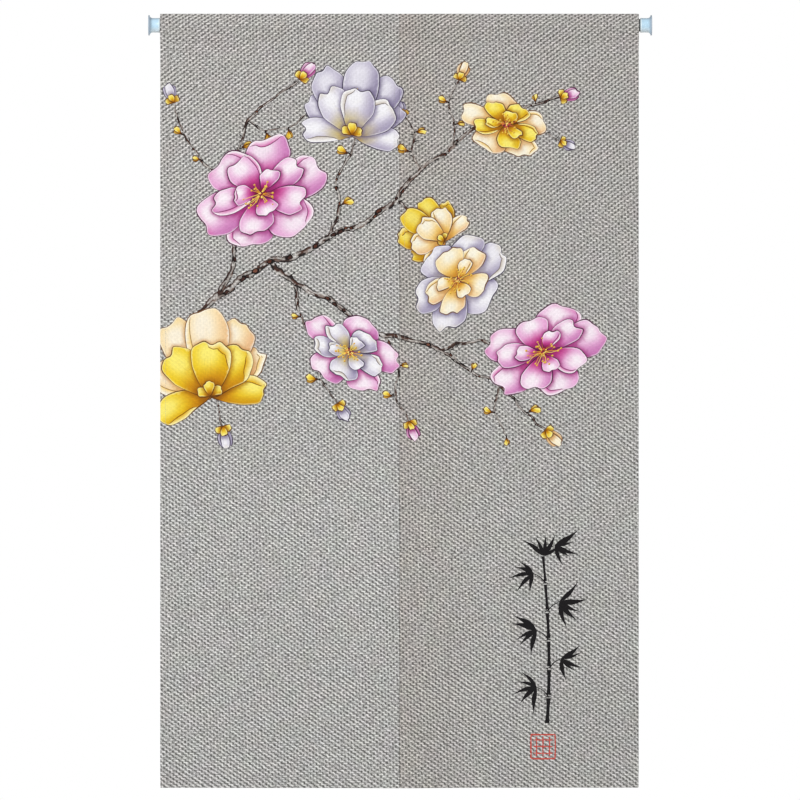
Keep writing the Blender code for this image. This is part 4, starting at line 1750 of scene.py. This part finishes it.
def tube_look():
    """Dark grey satin paint on the tube, with fine lines along it."""
    made = Nodes("grey_satin_tube", TUBE_ZONES)
    run = made.add("Mapping", made.object_place(), Scale=(6.0, 700.0, 700.0)).outputs[0]
    lines = made.noise(run, 1.0)[0]
    colour = made.mix(lines, (0.075, 0.083, 0.083, 1), (0.115, 0.125, 0.125, 1))
    return made.finish(colour, made.zone("roughness", lines), lines, 0.2, 0.0001, Metallic=0.6)


# Stage

FLOOR_Y = -0.5
FLOOR_Z = -1.60
FLOOR_SIZE = 4.0
FILL = 0.40  # strength of the light cast by the surroundings
# Name, energy, and the angles round from the front and up
LIGHTS = (
    ("key_light", 440.0, 42.0, 22.0),
    ("side_light", 210.0, -46.0, 16.0),
    ("back_light", 300.0, -160.0, 12.0),
)
LIGHT_DISTANCE = 9.0
LIGHT_SIZE = (4.0, 3.0)


def plain_floor():
    bpy.ops.mesh.primitive_plane_add(size=1.0, location=(CENTRE.x, FLOOR_Y, FLOOR_Z))
    floor = bpy.context.object
    floor.name = "floor"
    floor.scale = (FLOOR_SIZE, FLOOR_SIZE, 1.0)
    made = Nodes("pale_floor")
    faint = made.noise(made.object_place(), 40.0)[0]
    grey = made.mix(faint, (0.80, 0.80, 0.79, 1), (0.84, 0.84, 0.83, 1))
    floor.data.materials.append(made.finish(grey, 0.7))


def soft_light():
    """White surroundings, which cast less light than they show, and three soft boxes."""
    world = bpy.data.worlds.new("white_studio")
    world.use_nodes = True
    bpy.context.scene.world = world
    nodes, links = world.node_tree.nodes, world.node_tree.links
    shown = nodes["Background"]
    cast = nodes.new("ShaderNodeBackground")
    for surroundings, strength in ((shown, 1.0), (cast, FILL)):
        surroundings.inputs["Color"].default_value = WHITE
        surroundings.inputs["Strength"].default_value = strength
    path = nodes.new("ShaderNodeLightPath")
    mix = nodes.new("ShaderNodeMixShader")
    for socket, output in zip(mix.inputs, (path.outputs["Is Camera Ray"], cast.outputs[0], shown.outputs[0])):
        links.new(output, socket)
    links.new(mix.outputs[0], nodes["World Output"].inputs["Surface"])
    for light in LIGHTS:
        soft_box(*light)


def soft_box(name, energy, around, rise):
    """A large soft light, at an angle round from the front towards the left and one up, in degrees."""
    lamp = bpy.data.lights.new(name, "AREA")
    lamp.shape = "RECTANGLE"
    lamp.size, lamp.size_y = LIGHT_SIZE
    lamp.energy = energy
    around, rise = math.radians(around), math.radians(rise)
    way = Vector((-math.sin(around) * math.cos(rise), -math.cos(around) * math.cos(rise), math.sin(rise)))
    box = placed(name, lamp)
    box.location = CENTRE + way * LIGHT_DISTANCE
    box.rotation_euler = way.to_track_quat("Z", "Y").to_euler()


def front_camera():
    """A long lens straight in front, so the curtain stands as in the photograph."""
    data = bpy.data.cameras.new("front")
    data.lens = LENS
    data.sensor_width = SENSOR
    data.clip_end = 100
    camera = placed("front", data)
    camera.location = CENTRE + Vector((0, -FRAME_WIDTH * LENS / SENSOR, 0))
    camera.rotation_euler = (math.pi / 2, 0, 0)
    bpy.context.scene.camera = camera


def dress(piece, look, slot, *nodes):
    """Gives a piece its finish, puts it under the root and hides the solids it takes the place of."""
    piece.data.materials.append(look)
    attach(piece, "root")
    if nodes:
        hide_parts(*nodes)


def main():
    bpy.context.scene.view_settings.view_transform = "Standard"
    front_camera()
    soft_light()
    plain_floor()
    patches = spray()
    thread = thread_look()
    for word, side in (("left", -1), ("right", 1)):
        panel = build_panel(word + "_curtain", side, patches)
        dress(panel, canvas_look("canvas_" + word, CANVAS_TONES[word]), "canvas", word + "_panel")
        sewing = sew_panel(word + "_stitches", side)
        dress(sewing, thread, "canvas")
        foot = moulded_foot(word + "_moulding", side)
        face = 0.0 if side < 0 else SPAN
        dress(foot, plastic_look("milky_blue_" + word, face), "pale_blue_plastic", word + "_foot")
    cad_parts["rod"].data.materials.clear()
    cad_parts["rod"].data.materials.append(tube_look())


main()
